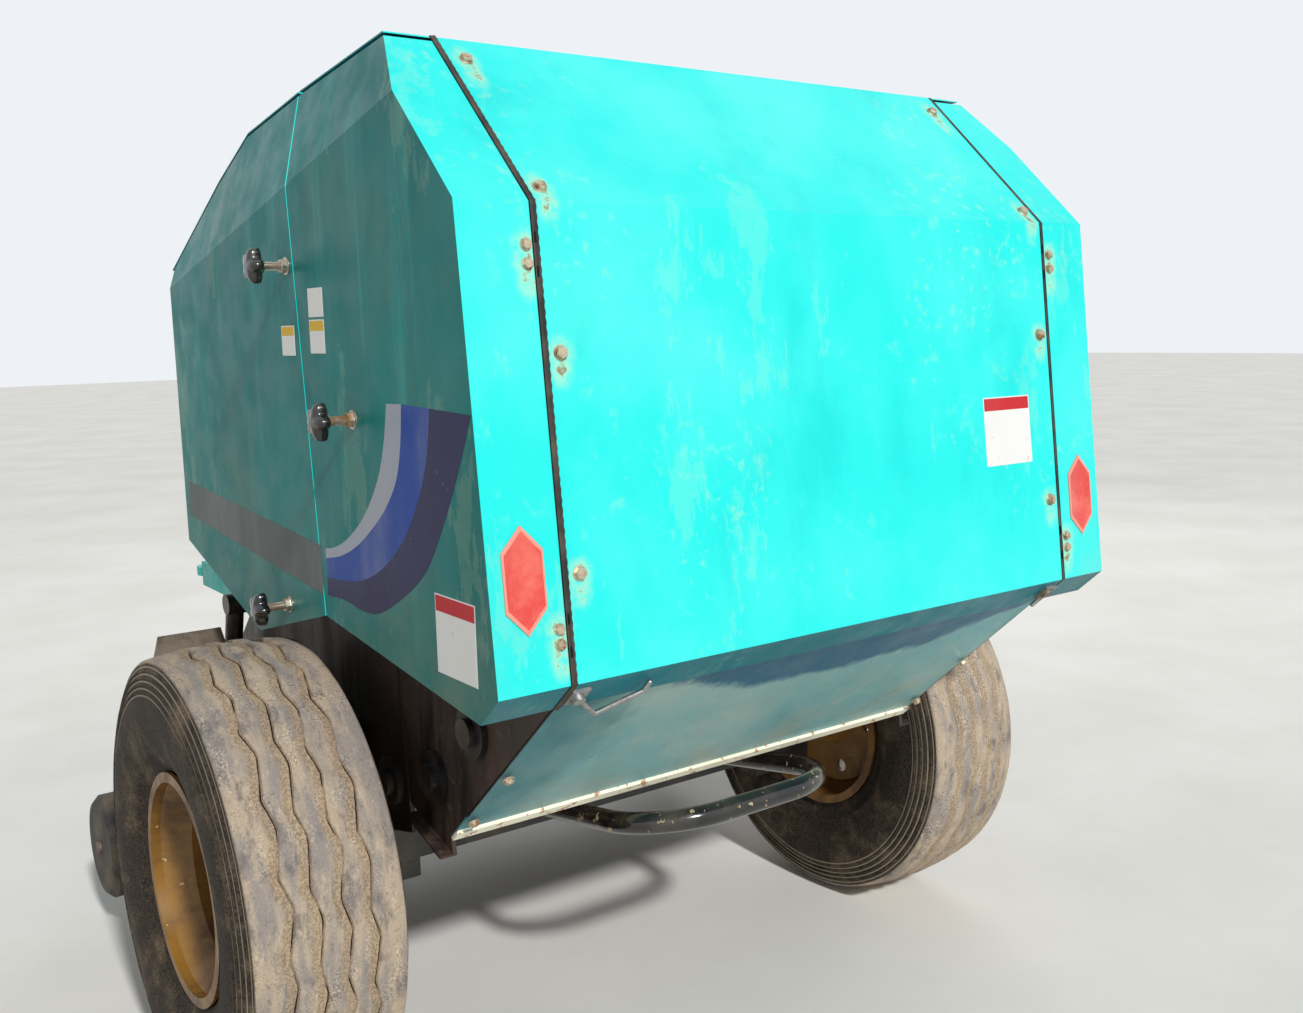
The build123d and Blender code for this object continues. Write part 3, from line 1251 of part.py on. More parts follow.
def main():
    parts = {}
    cover, door, panel, gate_roof, hood = make_covers()
    for barrel in make_cover_barrels():
        cover += barrel
    for barrel in make_door_barrels():
        door += barrel
    keep_pair(parts, "gate_cover", cover)
    keep_pair(parts, "side_door", door)
    parts["rear_panel"] = panel
    parts["gate_roof"] = gate_roof
    parts["front_hood"] = hood
    lower_panel, band = make_lower_panel()
    parts["lower_panel"] = lower_panel
    parts["lower_band"] = band
    parts["panel_latches"] = make_latches()
    gate_wall = make_gate_wall() - cover_hinge_room()
    for leaf in make_cover_leaves():
        gate_wall += leaf
    keep_pair(parts, "gate_wall", gate_wall)
    parts["gate_rollers"] = make_rollers(GATE_ANGLES)
    parts["gate_bearings"] = make_bearings(GATE_ANGLES)
    parts["gate_frame"] = make_gate_frame()
    axle, slot = make_axle()
    parts["axle"] = axle
    wall = make_front_wall() - slot
    for bracket in make_door_brackets():
        wall += bracket
    lift_foot = rod_y(LIFT_FOOT[0], LIFT_FOOT[1], 20, WALL_OUT - 1, LIFT_Y - LIFT_R - EYE_SIDE - EYE_GAP)
    parts["frame_wall_left"] = wall + lift_foot
    parts["frame_wall_right"] = opposite(wall)
    parts["cross_tubes"] = make_cross_members()
    parts["front_rollers"] = make_rollers(FRONT_ANGLES)
    parts["front_bearings"] = make_bearings(FRONT_ANGLES) + make_rotor_bearings()
    parts["front_panel"] = make_front_panel()
    parts["tail_bow"] = make_bow()
    keep_pair(parts, "tyre", make_tyre())
    keep_pair(parts, "wheel", make_rim())
    parts["drawbar"] = make_drawbar()
    housing, leg = make_jack()
    parts["jack_housing"] = housing
    parts["jack_leg"] = leg
    parts["feed_rotor"] = make_rotor()
    parts["channel_floor"] = make_floor()
    parts["pickup_frame"] = make_pickup_frame()
    parts["pickup_bands"] = make_bands()
    parts["pickup_reel"] = make_reel()
    keep_pair(parts, "gauge_wheel", make_gauge_wheel())
    parts["wind_guard"] = make_wind_guard()
    parts["net_box"] = make_net_box()
    parts["net_lid"] = make_net_lid()
    parts["gearbox"] = make_gearbox()
    parts["input_guard"] = make_input_guard()
    parts["drive_chains"] = make_drive()
    gate_stroke = stroke_of(CYL_FOOT, CYL_EYE, HINGE, GATE_OPEN)
    barrel, rod = cylinder_pair(CYL_FOOT, CYL_EYE, CYL_Y, CYL_R, ROD_R, gate_stroke)
    keep_pair(parts, "gate_barrel", barrel)
    keep_pair(parts, "gate_rod", rod)
    lift_stroke = stroke_of(LIFT_FOOT, LIFT_EYE, PICKUP_PIVOT, PICKUP_DOWN)
    barrel, rod = cylinder_pair(LIFT_FOOT, LIFT_EYE, LIFT_Y, LIFT_R, LIFT_ROD_R, lift_stroke)
    parts["lift_barrel"] = barrel
    parts["lift_rod"] = rod
    for name, places in (("gate_knob", GATE_KNOBS), ("door_knobs", DOOR_KNOBS)):
        keep_pair(parts, name, [make_knob(x, z) for x, z in places])
    keep_pair(parts, "reflector", make_reflector())
    write_all(parts)


main()
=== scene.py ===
"""Looks of the round baler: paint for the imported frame, and tyres, seals, bolts, knobs, film and lenses."""

import math

import bmesh
import bpy
from mathutils import Matrix, Vector, noise


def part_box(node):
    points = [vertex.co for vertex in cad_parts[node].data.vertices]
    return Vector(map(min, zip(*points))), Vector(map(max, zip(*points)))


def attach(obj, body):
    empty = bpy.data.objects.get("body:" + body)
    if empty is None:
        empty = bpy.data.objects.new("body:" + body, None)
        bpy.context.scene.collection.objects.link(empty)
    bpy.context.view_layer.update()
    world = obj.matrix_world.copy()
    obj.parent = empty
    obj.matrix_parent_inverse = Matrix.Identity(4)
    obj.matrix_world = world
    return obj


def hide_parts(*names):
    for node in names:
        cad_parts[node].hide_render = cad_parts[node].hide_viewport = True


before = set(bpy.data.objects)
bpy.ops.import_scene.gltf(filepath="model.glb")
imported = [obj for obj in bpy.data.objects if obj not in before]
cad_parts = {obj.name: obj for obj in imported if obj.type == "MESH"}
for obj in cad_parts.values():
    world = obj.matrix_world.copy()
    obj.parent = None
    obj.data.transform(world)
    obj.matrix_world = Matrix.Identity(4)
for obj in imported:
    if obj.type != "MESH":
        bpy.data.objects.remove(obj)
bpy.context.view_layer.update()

# Places are given in millimetres from the axle (x), the mid plane (y) and the ground (z)
tyre_low, tyre_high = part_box("tyre_left")
AXLE_X = (tyre_low.x + tyre_high.x) / 2
AXLE_Z = (tyre_low.z + tyre_high.z) / 2

# Corners of the tail's side outline, as (x, z)
REAR_LOW = (-784.0, 895.0)
REAR_HIGH = (-718.0, 1546.0)
ROOF_REAR = (-451.0, 1806.0)
ROOF_SEAM = (-77.0, 1782.0)
LOWER_END = (-387.0, 546.0)

# Distances from the mid plane: the side covers' faces, and the seams beside the rear panel
SIDE_Y = 654.0
STRIP_Y = 537.0

# The tyre: half the track, half the tread's width, and the radius in the tread's middle and at its edges
TRACK_HALF = 754.0
TREAD_HALF = 119.5
CROWN_R = 418.0
SHOULDER_R = 407.0

# The rings on its sidewalls: the outermost ring's outer radius, the step between rings and their number
RING_TOP_R = 391.5
RING_STEP = 12.0
RINGS = 4

# Fasteners on both halves of the tail, as (y, z)
PANEL_BOLTS = ((512, 1344), (512, 1045))
COVER_BOLTS = ((552, 1488), (552, 1463), (552, 974), (552, 953))
SLOPE_BOLTS = ((502, 1770), (511, 1566))

# Fasteners on both halves of the lower panel, as (y, distance from the tail's lower corner), and how far out
LOWER_BOLTS = ((521, 300), (521, 462))
LOWER_BOLTS_OUT = 3.0

# The shadow line on the lower panel, in metres: its lowest point and how fast it rises to both sides
SHADE_Y = -0.09
SHADE_Z = 0.776
SHADE_BEND = 0.363


def at(x, y, z):
    """A place in the shared frame, in metres."""
    return Vector((AXLE_X + x / 1000, y / 1000, z / 1000))


def between(a, b, share):
    """A point on the line from a to b."""
    return tuple(p + (q - p) * share for p, q in zip(a, b))


def curve(p, q, r, s, t):
    """A coordinate on the smooth curve from q to r, with p before them and s after."""
    bend = 2 * p - 5 * q + 4 * r - s
    twist = 3 * q - p - 3 * r + s
    return 0.5 * (2 * q + (r - p) * t + bend * t * t + twist * t ** 3)


def smooth_line(points, steps):
    """A smooth curve through the points, with a number of steps between each two."""
    line = []
    padded = [points[0]] + list(points) + [points[-1]]
    for a, b, c, d in zip(padded, padded[1:], padded[2:], padded[3:]):
        for step in range(steps):
            line.append(tuple(curve(*four, step / steps) for four in zip(a, b, c, d)))
    return line + [tuple(points[-1])]


# Materials

class Look:
    """A node material that grows by short calls."""

    def __init__(self, name):
        self.material = bpy.data.materials.new(name)
        self.material.use_nodes = True
        self.tree = self.material.node_tree
        self.shader = self.tree.nodes["Principled BSDF"]
        self.place = self.add("ShaderNodeTexCoord").outputs["Object"]
        self.axes = self.add("ShaderNodeSeparateXYZ", self.place).outputs
        self.facing = self.add("ShaderNodeSeparateXYZ", self.place.node.outputs["Normal"]).outputs

    def add(self, kind, *inputs, **settings):
        """A node with its first inputs linked or set, and its properties."""
        node = self.tree.nodes.new(kind)
        for key, value in settings.items():
            setattr(node, key, value)
        for index, value in enumerate(inputs):
            self.feed(node.inputs[index], value)
        return node

    def feed(self, socket, value):
        """Links an output to a socket, or sets the socket's value."""
        if isinstance(value, bpy.types.NodeSocket):
            self.tree.links.new(value, socket)
        elif value is not None:
            socket.default_value = value

    def calc(self, operation, a, b=None):
        """One step of arithmetic."""
        node = self.add("ShaderNodeMath", operation=operation)
        for socket, value in zip(node.inputs, (a, b)):
            self.feed(socket, value)
        return node.outputs[0]

    def times(self, a, b):
        """A product."""
        return self.calc("MULTIPLY", a, b)

    def plus(self, a, b):
        """A sum."""
        return self.calc("ADD", a, b)

    def less(self, a, b):
        """A difference."""
        return self.calc("SUBTRACT", a, b)

    def size(self, value):
        """A value without its sign."""
        return self.calc("ABSOLUTE", value)

    def span(self, value, low, high, to_low=0.0, to_high=1.0):
        """Maps a value from one range to another, held at both ends."""
        node = self.add("ShaderNodeMapRange", interpolation_type="SMOOTHSTEP")
        for socket, number in zip(node.inputs, (value, low, high, to_low, to_high)):
            self.feed(socket, number)
        return node.outputs[0]

    def cloud(self, scale, detail=4.0, stretch=(1, 1, 1), shift=0.0, rough=0.6):
        """Noise whose size falls with its scale, drawn out along the axes that have a small stretch."""
        mapping = self.add("ShaderNodeMapping", self.place)
        mapping.inputs["Scale"].default_value = stretch
        mapping.inputs["Location"].default_value = (shift, shift * 0.7, shift * 1.3)
        node = self.add("ShaderNodeTexNoise", mapping.outputs[0])
        node.inputs["Scale"].default_value = scale
        node.inputs["Detail"].default_value = detail
        node.inputs["Roughness"].default_value = rough
        return node.outputs["Fac"]

    def blend(self, share, a, b):
        """A colour between two colours."""
        node = self.add("ShaderNodeMix", data_type="RGBA", clamp_factor=True)
        for socket, value in zip((node.inputs[0], node.inputs[6], node.inputs[7]), (share, a, b)):
            self.feed(socket, value)
        return node.outputs[2]

    def cover(self, under, over, pattern, share=1.0):
        """Lays one colour over another where the pattern is, at a share of its strength."""
        return self.blend(pattern if share == 1.0 else self.times(pattern, share), under, over)

    @staticmethod
    def mixed(a, b, share):
        """A fixed colour between two fixed colours."""
        return tuple(p + (q - p) * share for p, q in zip(a, b))

    def spots(self, places, radius, run):
        """Where rust runs down from the fasteners on both sides: 1 at the fastener, 0 away from it."""
        flat = self.add("ShaderNodeCombineXYZ", 0.0, self.size(self.axes["Y"]), self.axes["Z"]).outputs[0]
        vector = "ShaderNodeVectorMath"
        total = None
        for y, z in places:
            for drop, reach, tall in ((0.0, radius, 1.0), (run * 0.5, radius * 0.8, radius / run)):
                away = self.add(vector, flat, (0, y / 1000, z / 1000 - drop), operation="SUBTRACT")
                squeezed = self.add(vector, away.outputs[0], (1, 1, tall), operation="MULTIPLY")
                far = self.add(vector, squeezed.outputs[0], operation="LENGTH").outputs["Value"]
                near = self.span(far, reach, reach * 0.15)
                total = near if total is None else self.calc("MAXIMUM", total, near)
        return total

    def bump(self, *layers):
        """Small heights in millimetres, given as pairs of a pattern and its height."""
        normal = None
        for pattern, height in layers:
            node = self.add("ShaderNodeBump")
            node.inputs["Strength"].default_value = 1.0
            node.inputs["Distance"].default_value = height / 1000
            self.feed(node.inputs["Height"], pattern)
            if normal is not None:
                self.feed(node.inputs["Normal"], normal)
            normal = node.outputs[0]
        self.feed(self.shader.inputs["Normal"], normal)

    def finish(self, color, roughness, metallic=0.0, coat=0.0, specular=0.5):
        """Sets the surface's main values."""
        self.feed(self.shader.inputs["Base Color"], color)
        self.feed(self.shader.inputs["Roughness"], roughness)
        self.feed(self.shader.inputs["Metallic"], metallic)
        self.shader.inputs["Specular IOR Level"].default_value = specular
        self.shader.inputs["Coat Weight"].default_value = coat
        self.shader.inputs["Coat Roughness"].default_value = 0.12
        return self.material


def rgb(red, green, blue):
    """A linear colour from values of 0 to 255 as seen on screen."""
    return tuple((value / 255) ** 2.2 for value in (red, green, blue)) + (1.0,)


RUST = rgb(132, 84, 46)
DUST = rgb(176, 160, 132)
BLEACHED = rgb(206, 226, 178)
# Painted shade in the seams beside the rear panel
SEAM_SHADE = rgb(24, 26, 26)
# Mud on the sideways faces, mixed with a painted reflection of the surroundings
MUD_AND_REFLECTION = rgb(126, 128, 98)
TEAL = rgb(44, 232, 226)
TEAL_PALE = rgb(84, 240, 232)
TEAL_DEEP = rgb(12, 200, 198)
# Darker teal for faces that look sideways (painted shade and unbleached paint) and for faces that look down
# (painted shade)
TEAL_SIDE_SHADE = rgb(6, 112, 110)
TEAL_UNDER_SHADE = rgb(18, 118, 130)
# Painted shadow, with a bluish painted reflection, under the tail's lip, and painted shade in the lower
# panel's corner
LOWER_SHADE = rgb(26, 92, 122)
LOWER_CORNER_SHADE = rgb(34, 108, 116)

# How strongly faded sheet and film mirror what is around them
FADED_SPECULAR = 0.12


def shaded_faces(look, color, side, pale):
    """Covers the faces that look sideways or down with deeper, darker colours: partly paint the sun hasn't
    bleached, partly painted shade.
    """
    clouds = look.span(look.cloud(3.4, 6, stretch=(1, 1, 0.5), shift=6.2), 0.35, 0.75)
    shaded = look.cover(side, look.mixed(side, pale, 0.14), clouds, 0.7)
    # Mud and a painted reflection of the surroundings on the sideways faces
    mud_and_reflection = look.span(look.cloud(2.6, 7, stretch=(1, 1, 0.6), shift=3.9, rough=0.7), 0.48, 0.66)
    shaded = look.cover(shaded, MUD_AND_REFLECTION, mud_and_reflection, 0.20)
    # Painted shade, partly unbleached paint: the deeper colours on faces that look sideways
    color = look.cover(color, shaded, look.span(look.size(look.facing["Y"]), 0.75, 0.95))
    # Painted shade on faces that look down
    return look.cover(color, TEAL_UNDER_SHADE, look.span(look.facing["Z"], -0.45, -0.65))


def weathered(look, color, pale, dust, floor):
    """Adds rain streaks, rubbed patches, and dust that grows towards the floor height; where that height is
    raised, as on the covers, the dust also stands for a painted reflection of the surroundings.
    """
    streaks = look.cloud(24, 4, stretch=(1, 1, 0.05), shift=3.1)
    color = look.cover(color, pale, look.span(streaks, 0.54, 0.82), 0.16)
    rubbed = look.span(look.cloud(5, 9, stretch=(1, 1, 0.35), shift=7.4, rough=0.75), 0.585, 0.60)
    color = look.cover(color, BLEACHED, rubbed, 0.10)
    low = look.span(look.axes["Z"], floor + 0.45, floor)
    grime = look.times(look.span(look.cloud(9, 7, shift=5.5), 0.35, 0.75), low)
    grime = look.plus(look.times(grime, 0.8), look.times(streaks, dust * 0.3))
    return look.cover(color, DUST, grime, dust * 2)


def lip_shadow(look, color, stain, painted_lip_shade):
    """Adds the ragged dark band under the tail's lip, a painted shadow with a bluish painted reflection, and
    a dark corner of painted shade.
    """
    # Painted shadow with a bluish painted reflection, above a line that rises to both sides
    beside = look.less(look.axes["Y"], SHADE_Y)
    edge = look.plus(look.times(look.times(beside, beside), SHADE_BEND), SHADE_Z)
    ragged = look.times(look.less(look.cloud(12, 6, shift=4.9), 0.5), 0.05)
    above = look.plus(look.less(look.axes["Z"], edge), ragged)
    color = look.cover(color, painted_lip_shade, look.span(above, -0.006, 0.010, 0.0, 0.92))
    # Painted shade towards the lower panel's left corner
    corner = look.span(look.plus(look.axes["Y"], look.times(stain, 0.25)), 0.44, 0.64)
    return look.cover(color, LOWER_CORNER_SHADE, corner, 0.75)


def rust_marks(look, color, places):
    """Adds a pale halo and a rusty middle at each fastener."""
    halo = look.times(look.spots(places, 0.030, 0.045), look.span(look.cloud(70, 4), 0.2, 0.7))
    color = look.cover(color, BLEACHED, halo, 0.75)
    return look.cover(color, RUST, look.span(halo, 0.62, 1.0, 0.0, 0.8))


def shaded_seams(look, color):
    """Darkens the seams beside the rear panel with painted shade, as far as the tail reaches."""
    beside = look.size(look.less(look.size(look.axes["Y"]), STRIP_Y / 1000))
    tail = look.span(look.axes["X"], at(ROOF_REAR[0] + 15, 0, 0).x, at(*ROOF_REAR, 0).x)
    return look.cover(color, SEAM_SHADE, look.times(look.span(beside, 0.0050, 0.0042), tail))


def enamel(name, base, pale, deep, side=None, dust=0.2, rust=None, floor=0.2, painted_lip_shade=None):
    """Sheet-metal enamel: sun-bleached clouds, streaks, dust towards the ground and rust at fasteners.

    The colour for faces that look sideways is partly painted shade; the colour under the tail's lip is a
    painted shadow.
    """
    look = Look(name)
    color = look.cover(base, pale, look.span(look.cloud(2.3, 5, shift=1.7), 0.38, 0.72))
    stain = look.cloud(6.5, 6, stretch=(1, 1, 0.4), shift=8.8)
    color = look.cover(color, deep, look.span(stain, 0.50, 0.8), 0.45)
    fields = look.span(look.cloud(3.1, 4, shift=0.9), 0.48, 0.66)
    freckles = look.times(look.span(look.cloud(46, 5, shift=2.6), 0.54, 0.66), fields)
    color = look.cover(color, BLEACHED, freckles, 0.22)
    # Painted shade, partly unbleached paint, on faces that look sideways or down
    if side:
        color = shaded_faces(look, color, side, pale)
    color = weathered(look, color, pale, dust, floor)
    # Painted shadow under the tail's lip
    if painted_lip_shade:
        color = lip_shadow(look, color, stain, painted_lip_shade)
    if rust:
        color = rust_marks(look, color, rust)
    # Painted shade in the seams
    color = shaded_seams(look, color)
    look.bump((look.cloud(3.2, 2, shift=6.1), 3.0), (look.cloud(260, 2), 0.05))
    rough = look.span(look.cloud(14, 5, shift=4.4), 0.3, 0.7, 0.26, 0.46)
    return look.finish(color, rough, specular=FADED_SPECULAR)


def worn_metal(name, base, mark, rough=0.35, metallic=1.0, scale=30, stretch=(1, 1, 1)):
    """Bare or plated metal with stains, scratches and a little rust."""
    look = Look(name)
    stains = look.cloud(scale, 6, stretch=stretch, shift=2.9)
    fine = look.cloud(scale * 8, 3, stretch=stretch, shift=0.4)
    color = look.cover(base, mark, look.span(stains, 0.42, 0.68))
    color = look.cover(color, mark, look.span(fine, 0.55, 0.7), 0.4)
    shine = look.span(stains, 0.45, 0.66, metallic, metallic * 0.25)
    rougher = look.span(stains, 0.4, 0.7, rough, min(0.9, rough + 0.4))
    look.bump((fine, 0.08), (stains, 0.25))
    return look.finish(color, rougher, metallic=shine)


def chipped(name, base, under, rough, coat, chips):
    """Glossy paint that has flaked off in small chips."""
    look = Look(name)
    flakes = look.span(look.cloud(48, 7, shift=3.3), chips, chips + 0.02)
    dusty = look.span(look.cloud(7, 5, shift=9.1), 0.4, 0.8)
    color = look.cover(look.cover(base, DUST, dusty, 0.25), under, flakes)
    rougher = look.plus(look.span(flakes, 0, 1, rough, 0.7), look.times(dusty, 0.15))
    look.bump((flakes, -0.2), (look.cloud(120, 3), 0.08))
    return look.finish(color, rougher, coat=coat)


def rim_enamel(name):
    """Ochre rim paint under brown grime in runs, both set darker than their own colour as painted shade."""
    look = Look(name)
    film = look.cloud(9, 7, stretch=(1, 0.6, 1), shift=4.1, rough=0.65)
    color = look.cover(rgb(146, 106, 46), rgb(84, 58, 34), look.span(film, 0.34, 0.70))
    runs = look.span(look.cloud(20, 6, stretch=(1, 1, 0.35), shift=8.3), 0.56, 0.74)
    color = look.cover(color, rgb(58, 40, 27), runs, 0.8)
    flakes = look.span(look.cloud(60, 6, shift=3.3), 0.68, 0.70)
    color = look.cover(color, rgb(206, 178, 120), flakes)
    look.bump((film, 0.4), (flakes, -0.15))
    return look.finish(color, look.span(film, 0.35, 0.7, 0.35, 0.7), coat=0.1)


def plastic(name, color, rough, coat=0.0, mottled=0.15):
    """Moulded plastic or rubber with dust in its grain."""
    look = Look(name)
    dusty = look.span(look.cloud(16, 6, shift=7.7), 0.35, 0.8)
    look.bump((look.cloud(400, 2), 0.06))
    rougher = look.span(dusty, 0, 1, rough, min(1.0, rough + 0.25))
    return look.finish(look.cover(color, DUST, dusty, mottled), rougher, coat=coat)


def wall_stain(name):
    """Dark chamber walls: brown film in runs over black, with dull rub marks."""
    look = Look(name)
    runs = look.cloud(26, 6, stretch=(1, 1, 0.16), shift=2.4)
    color = look.cover(rgb(27, 22, 20), rgb(66, 47, 37), look.span(runs, 0.38, 0.72))
    color = look.cover(color, rgb(58, 46, 38), look.span(look.cloud(4, 5, shift=6.6), 0.5, 0.75))
    color = look.cover(color, rgb(120, 104, 84), look.span(look.cloud(70, 5), 0.6, 0.75), 0.5)
    look.bump((runs, 0.3))
    return look.finish(color, look.span(runs, 0.3, 0.7, 0.42, 0.8), coat=0.15)


def tread_color(look, beside, depth, grit, fine, scuffs):
    """Dusty, scuffed ribs with sand on the grooves' slopes and a dark line of painted shade at their bottom.
    """
    along = look.cloud(7, 6, stretch=(1, 4.0, 1), shift=5.2)
    color = look.cover(rgb(184, 166, 144), rgb(148, 140, 134), look.span(along, 0.40, 0.62))
    smears = look.span(look.cloud(15, 7, stretch=(1, 1.8, 1), shift=4.4, rough=0.7), 0.50, 0.66)
    color = look.cover(color, rgb(104, 99, 100), smears, 0.75)
    color = look.cover(color, rgb(226, 206, 176), look.span(scuffs, 0.54, 0.66, 0.0, 0.4))
    color = look.cover(color, rgb(92, 84, 78), look.span(scuffs, 0.44, 0.34, 0.0, 0.6))
    fields = look.cloud(10, 7, stretch=(1, 2, 1), shift=6.9, rough=0.7)
    gritty = look.span(fields, 0.50, 0.62, 0.12, 0.85)
    color = look.cover(color, rgb(236, 218, 190), look.times(look.span(grit, 0.50, 0.62), gritty))
    color = look.cover(color, rgb(96, 82, 70), look.times(look.span(grit, 0.48, 0.40), gritty))
    inside = look.span(look.size(beside), 0.116, 0.112)
    worn = look.plus(look.times(look.less(fine, 0.5), 0.004), depth)
    sand = look.cover(rgb(128, 108, 88), rgb(196, 172, 138), look.span(grit, 0.42, 0.60))
    color = look.cover(color, sand, look.times(look.span(worn, 0.0006, 0.0022), inside), 0.72)
    # Painted shade: a dark line where the grooves are deepest
    return look.cover(color, rgb(44, 37, 31), look.times(look.span(depth, 0.0042, 0.0058), inside))


def sidewall_color(look, radius, grit):
    """Dark rubber with dust in patches and pale crests on its rings."""
    color = look.cover(rgb(24, 22, 20), rgb(78, 67, 56), look.span(grit, 0.42, 0.62))
    dusty = look.span(look.cloud(9, 7, shift=2.2, rough=0.7), 0.46, 0.72)
    color = look.cover(color, rgb(138, 120, 96), look.times(dusty, look.span(grit, 0.35, 0.65, 0.2, 0.8)))
    turns = look.times(look.less(radius, RING_TOP_R / 1000), 2 * math.pi / RING_STEP * 1000)
    crests = look.span(look.calc("SINE", turns), 0.45, 0.95)
    return look.cover(color, rgb(170, 158, 138), look.times(crests, look.span(radius, 0.341, 0.345)), 0.8)


def tyre_rubber(name):
    """Worn rubber: dusty tread with sand in its grooves, and darker sidewalls with pale rings."""
    look = Look(name)
    across = look.less(look.axes["X"], AXLE_X)
    up = look.less(look.axes["Z"], AXLE_Z)
    radius = look.calc("SQRT", look.plus(look.times(across, across), look.times(up, up)))
    beside = look.less(look.size(look.axes["Y"]), TRACK_HALF / 1000)
    bend = (CROWN_R - SHOULDER_R) * 1000 / TREAD_HALF ** 2
    surface = look.less(CROWN_R / 1000, look.times(look.times(beside, beside), bend))
    depth = look.less(surface, radius)
    fine = look.cloud(120, 8, shift=1.1, rough=0.75)
    scuffs = look.cloud(34, 8, stretch=(1, 1.6, 1), shift=8.1, rough=0.8)
    grit = look.cloud(260, 6, shift=3.7, rough=0.85)
    tread = look.span(radius, 0.3985, 0.4035)
    road = tread_color(look, beside, depth, grit, fine, scuffs)
    color = look.cover(sidewall_color(look, radius, grit), road, tread)
    pores = look.span(look.cloud(160, 6, shift=0.6), 0.30, 0.38)
    look.bump((scuffs, 2.4), (fine, 1.2), (pores, 0.25))
    return look.finish(color, look.span(tread, 0, 1, 0.75, 0.92), specular=0.25)


paint = {
    # The rear and the covers take painted shade on their faces that look sideways or down
    "rear": enamel(
        "enamel_rear", TEAL, TEAL_PALE, TEAL_DEEP, side=TEAL_SIDE_SHADE, dust=0.08, rust=PANEL_BOLTS + SLOPE_BOLTS
    ),
    # The covers' raised floor height spreads dust up the doors, standing partly for a painted reflection of
    # the surroundings
    "covers": enamel(
        "enamel_covers", TEAL, TEAL_PALE, TEAL_DEEP, side=TEAL_SIDE_SHADE, dust=0.12, rust=COVER_BOLTS, floor=0.75
    ),
    "frame": enamel("enamel_frame", rgb(24, 168, 162), rgb(70, 186, 176), rgb(18, 120, 120), dust=0.3),
    # The lower panel takes the painted shadow, with a bluish painted reflection, under the tail's lip
    "lower": enamel(
        "enamel_lower", rgb(108, 172, 176), rgb(156, 186, 180), rgb(60, 136, 148), dust=0.40, floor=0.4,
        painted_lip_shade=LOWER_SHADE
    ),
    "cream": chipped("cream_band", rgb(255, 250, 224), rgb(196, 146, 108), 0.5, 0.1, 0.60),
    "black": chipped("black_gloss", rgb(14, 14, 17), rgb(178, 156, 118), 0.14, 0.7, 0.62),
    "machine": chipped("black_machine", rgb(26, 25, 25), rgb(84, 62, 44), 0.4, 0.2, 0.62),
    "gold": rim_enamel("rim_gold"),
    "wall": wall_stain("wall_stain"),
    "roller": worn_metal("roller_steel", rgb(150, 145, 138), rgb(98, 70, 48), 0.38, 0.9, 12, (1, 0.2, 1)),
    "plated": worn_metal("plated_steel", rgb(196, 190, 178), rgb(140, 106, 66), 0.3),
    "zinc": worn_metal("zinc_steel", rgb(170, 170, 168), rgb(122, 112, 96), 0.4),
    "rusty": worn_metal("rusty_bolt", rgb(206, 192, 166), rgb(134, 92, 54), 0.42, 0.8, 60),
    "sheet": worn_metal("worn_sheet", rgb(124, 112, 98), rgb(78, 62, 50), 0.55, 0.5, 10),
    "rod": worn_metal("cylinder_rod", rgb(216, 218, 222), rgb(150, 130, 110), 0.1, 1.0, 8, (1, 1, 0.3)),
    "chain": worn_metal("chain_steel", rgb(92, 84, 74), rgb(48, 38, 30), 0.45, 0.8, 60),
    "tyre": tyre_rubber("tyre_rubber"),
    "rubber": plastic("solid_rubber", rgb(44, 42, 40), 0.75, mottled=0.35),
    "seal": plastic("seal_rubber", rgb(20, 20, 20), 0.55, 0.1, 0.25),
    "knob": plastic("knob_plastic", rgb(14, 13, 13), 0.16, 0.7, 0.06),
    "guard": plastic("guard_plastic", rgb(30, 30, 31), 0.5, 0.1, 0.2),
}

NODE_PAINT = {
    "rear": ("rear_panel", "gate_roof"),
    "covers": ("gate_cover_left", "gate_cover_right", "side_door_left", "side_door_right", "front_hood"),
    "frame": ("front_panel", "net_box", "net_lid", "drawbar", "jack_housing"),
    "lower": ("lower_panel",),
    "cream": ("lower_band",),
    "black": ("tail_bow",),
    "machine": (
        "axle", "cross_tubes", "gate_frame", "gearbox", "front_bearings", "gate_bearings", "wind_guard",
        "gate_barrel_left", "gate_barrel_right", "lift_barrel"
    ),
    "gold": ("wheel_left", "wheel_right"),
    "wall": ("gate_wall_left", "gate_wall_right", "frame_wall_left", "frame_wall_right"),
    "roller": ("front_rollers", "gate_rollers", "feed_rotor", "channel_floor"),
    "zinc": ("jack_leg", "pickup_bands", "panel_latches"),
    "sheet": ("pickup_frame",),
    "rod": ("gate_rod_left", "gate_rod_right", "lift_rod"),
    "chain": ("drive_chains", "pickup_reel"),
    "rubber": ("gauge_wheel_left", "gauge_wheel_right"),
    "guard": ("input_guard",),
}
for key, names in NODE_PAINT.items():
    for name in names:
        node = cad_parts[name]
        node.data.materials.clear()
        node.data.materials.append(paint[key])


# Pieces

def piece(name, shape, body, look, smooth=30.0):
    """Makes a shape a piece that rides on a body; smooth is the angle below which edges are soft."""
    bmesh.ops.recalc_face_normals(shape, faces=shape.faces)
    mesh = bpy.data.meshes.new(name)
    shape.to_mesh(mesh)
    shape.free()
    obj = bpy.data.objects.new(name, mesh)
    bpy.context.collection.objects.link(obj)
    for one in look if isinstance(look, (list, tuple)) else [look]:
        mesh.materials.append(one)
    mesh.polygons.foreach_set("use_smooth", [True] * len(mesh.polygons))
    mesh.set_sharp_from_angle(angle=math.radians(smooth))
    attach(obj, body)
    return obj


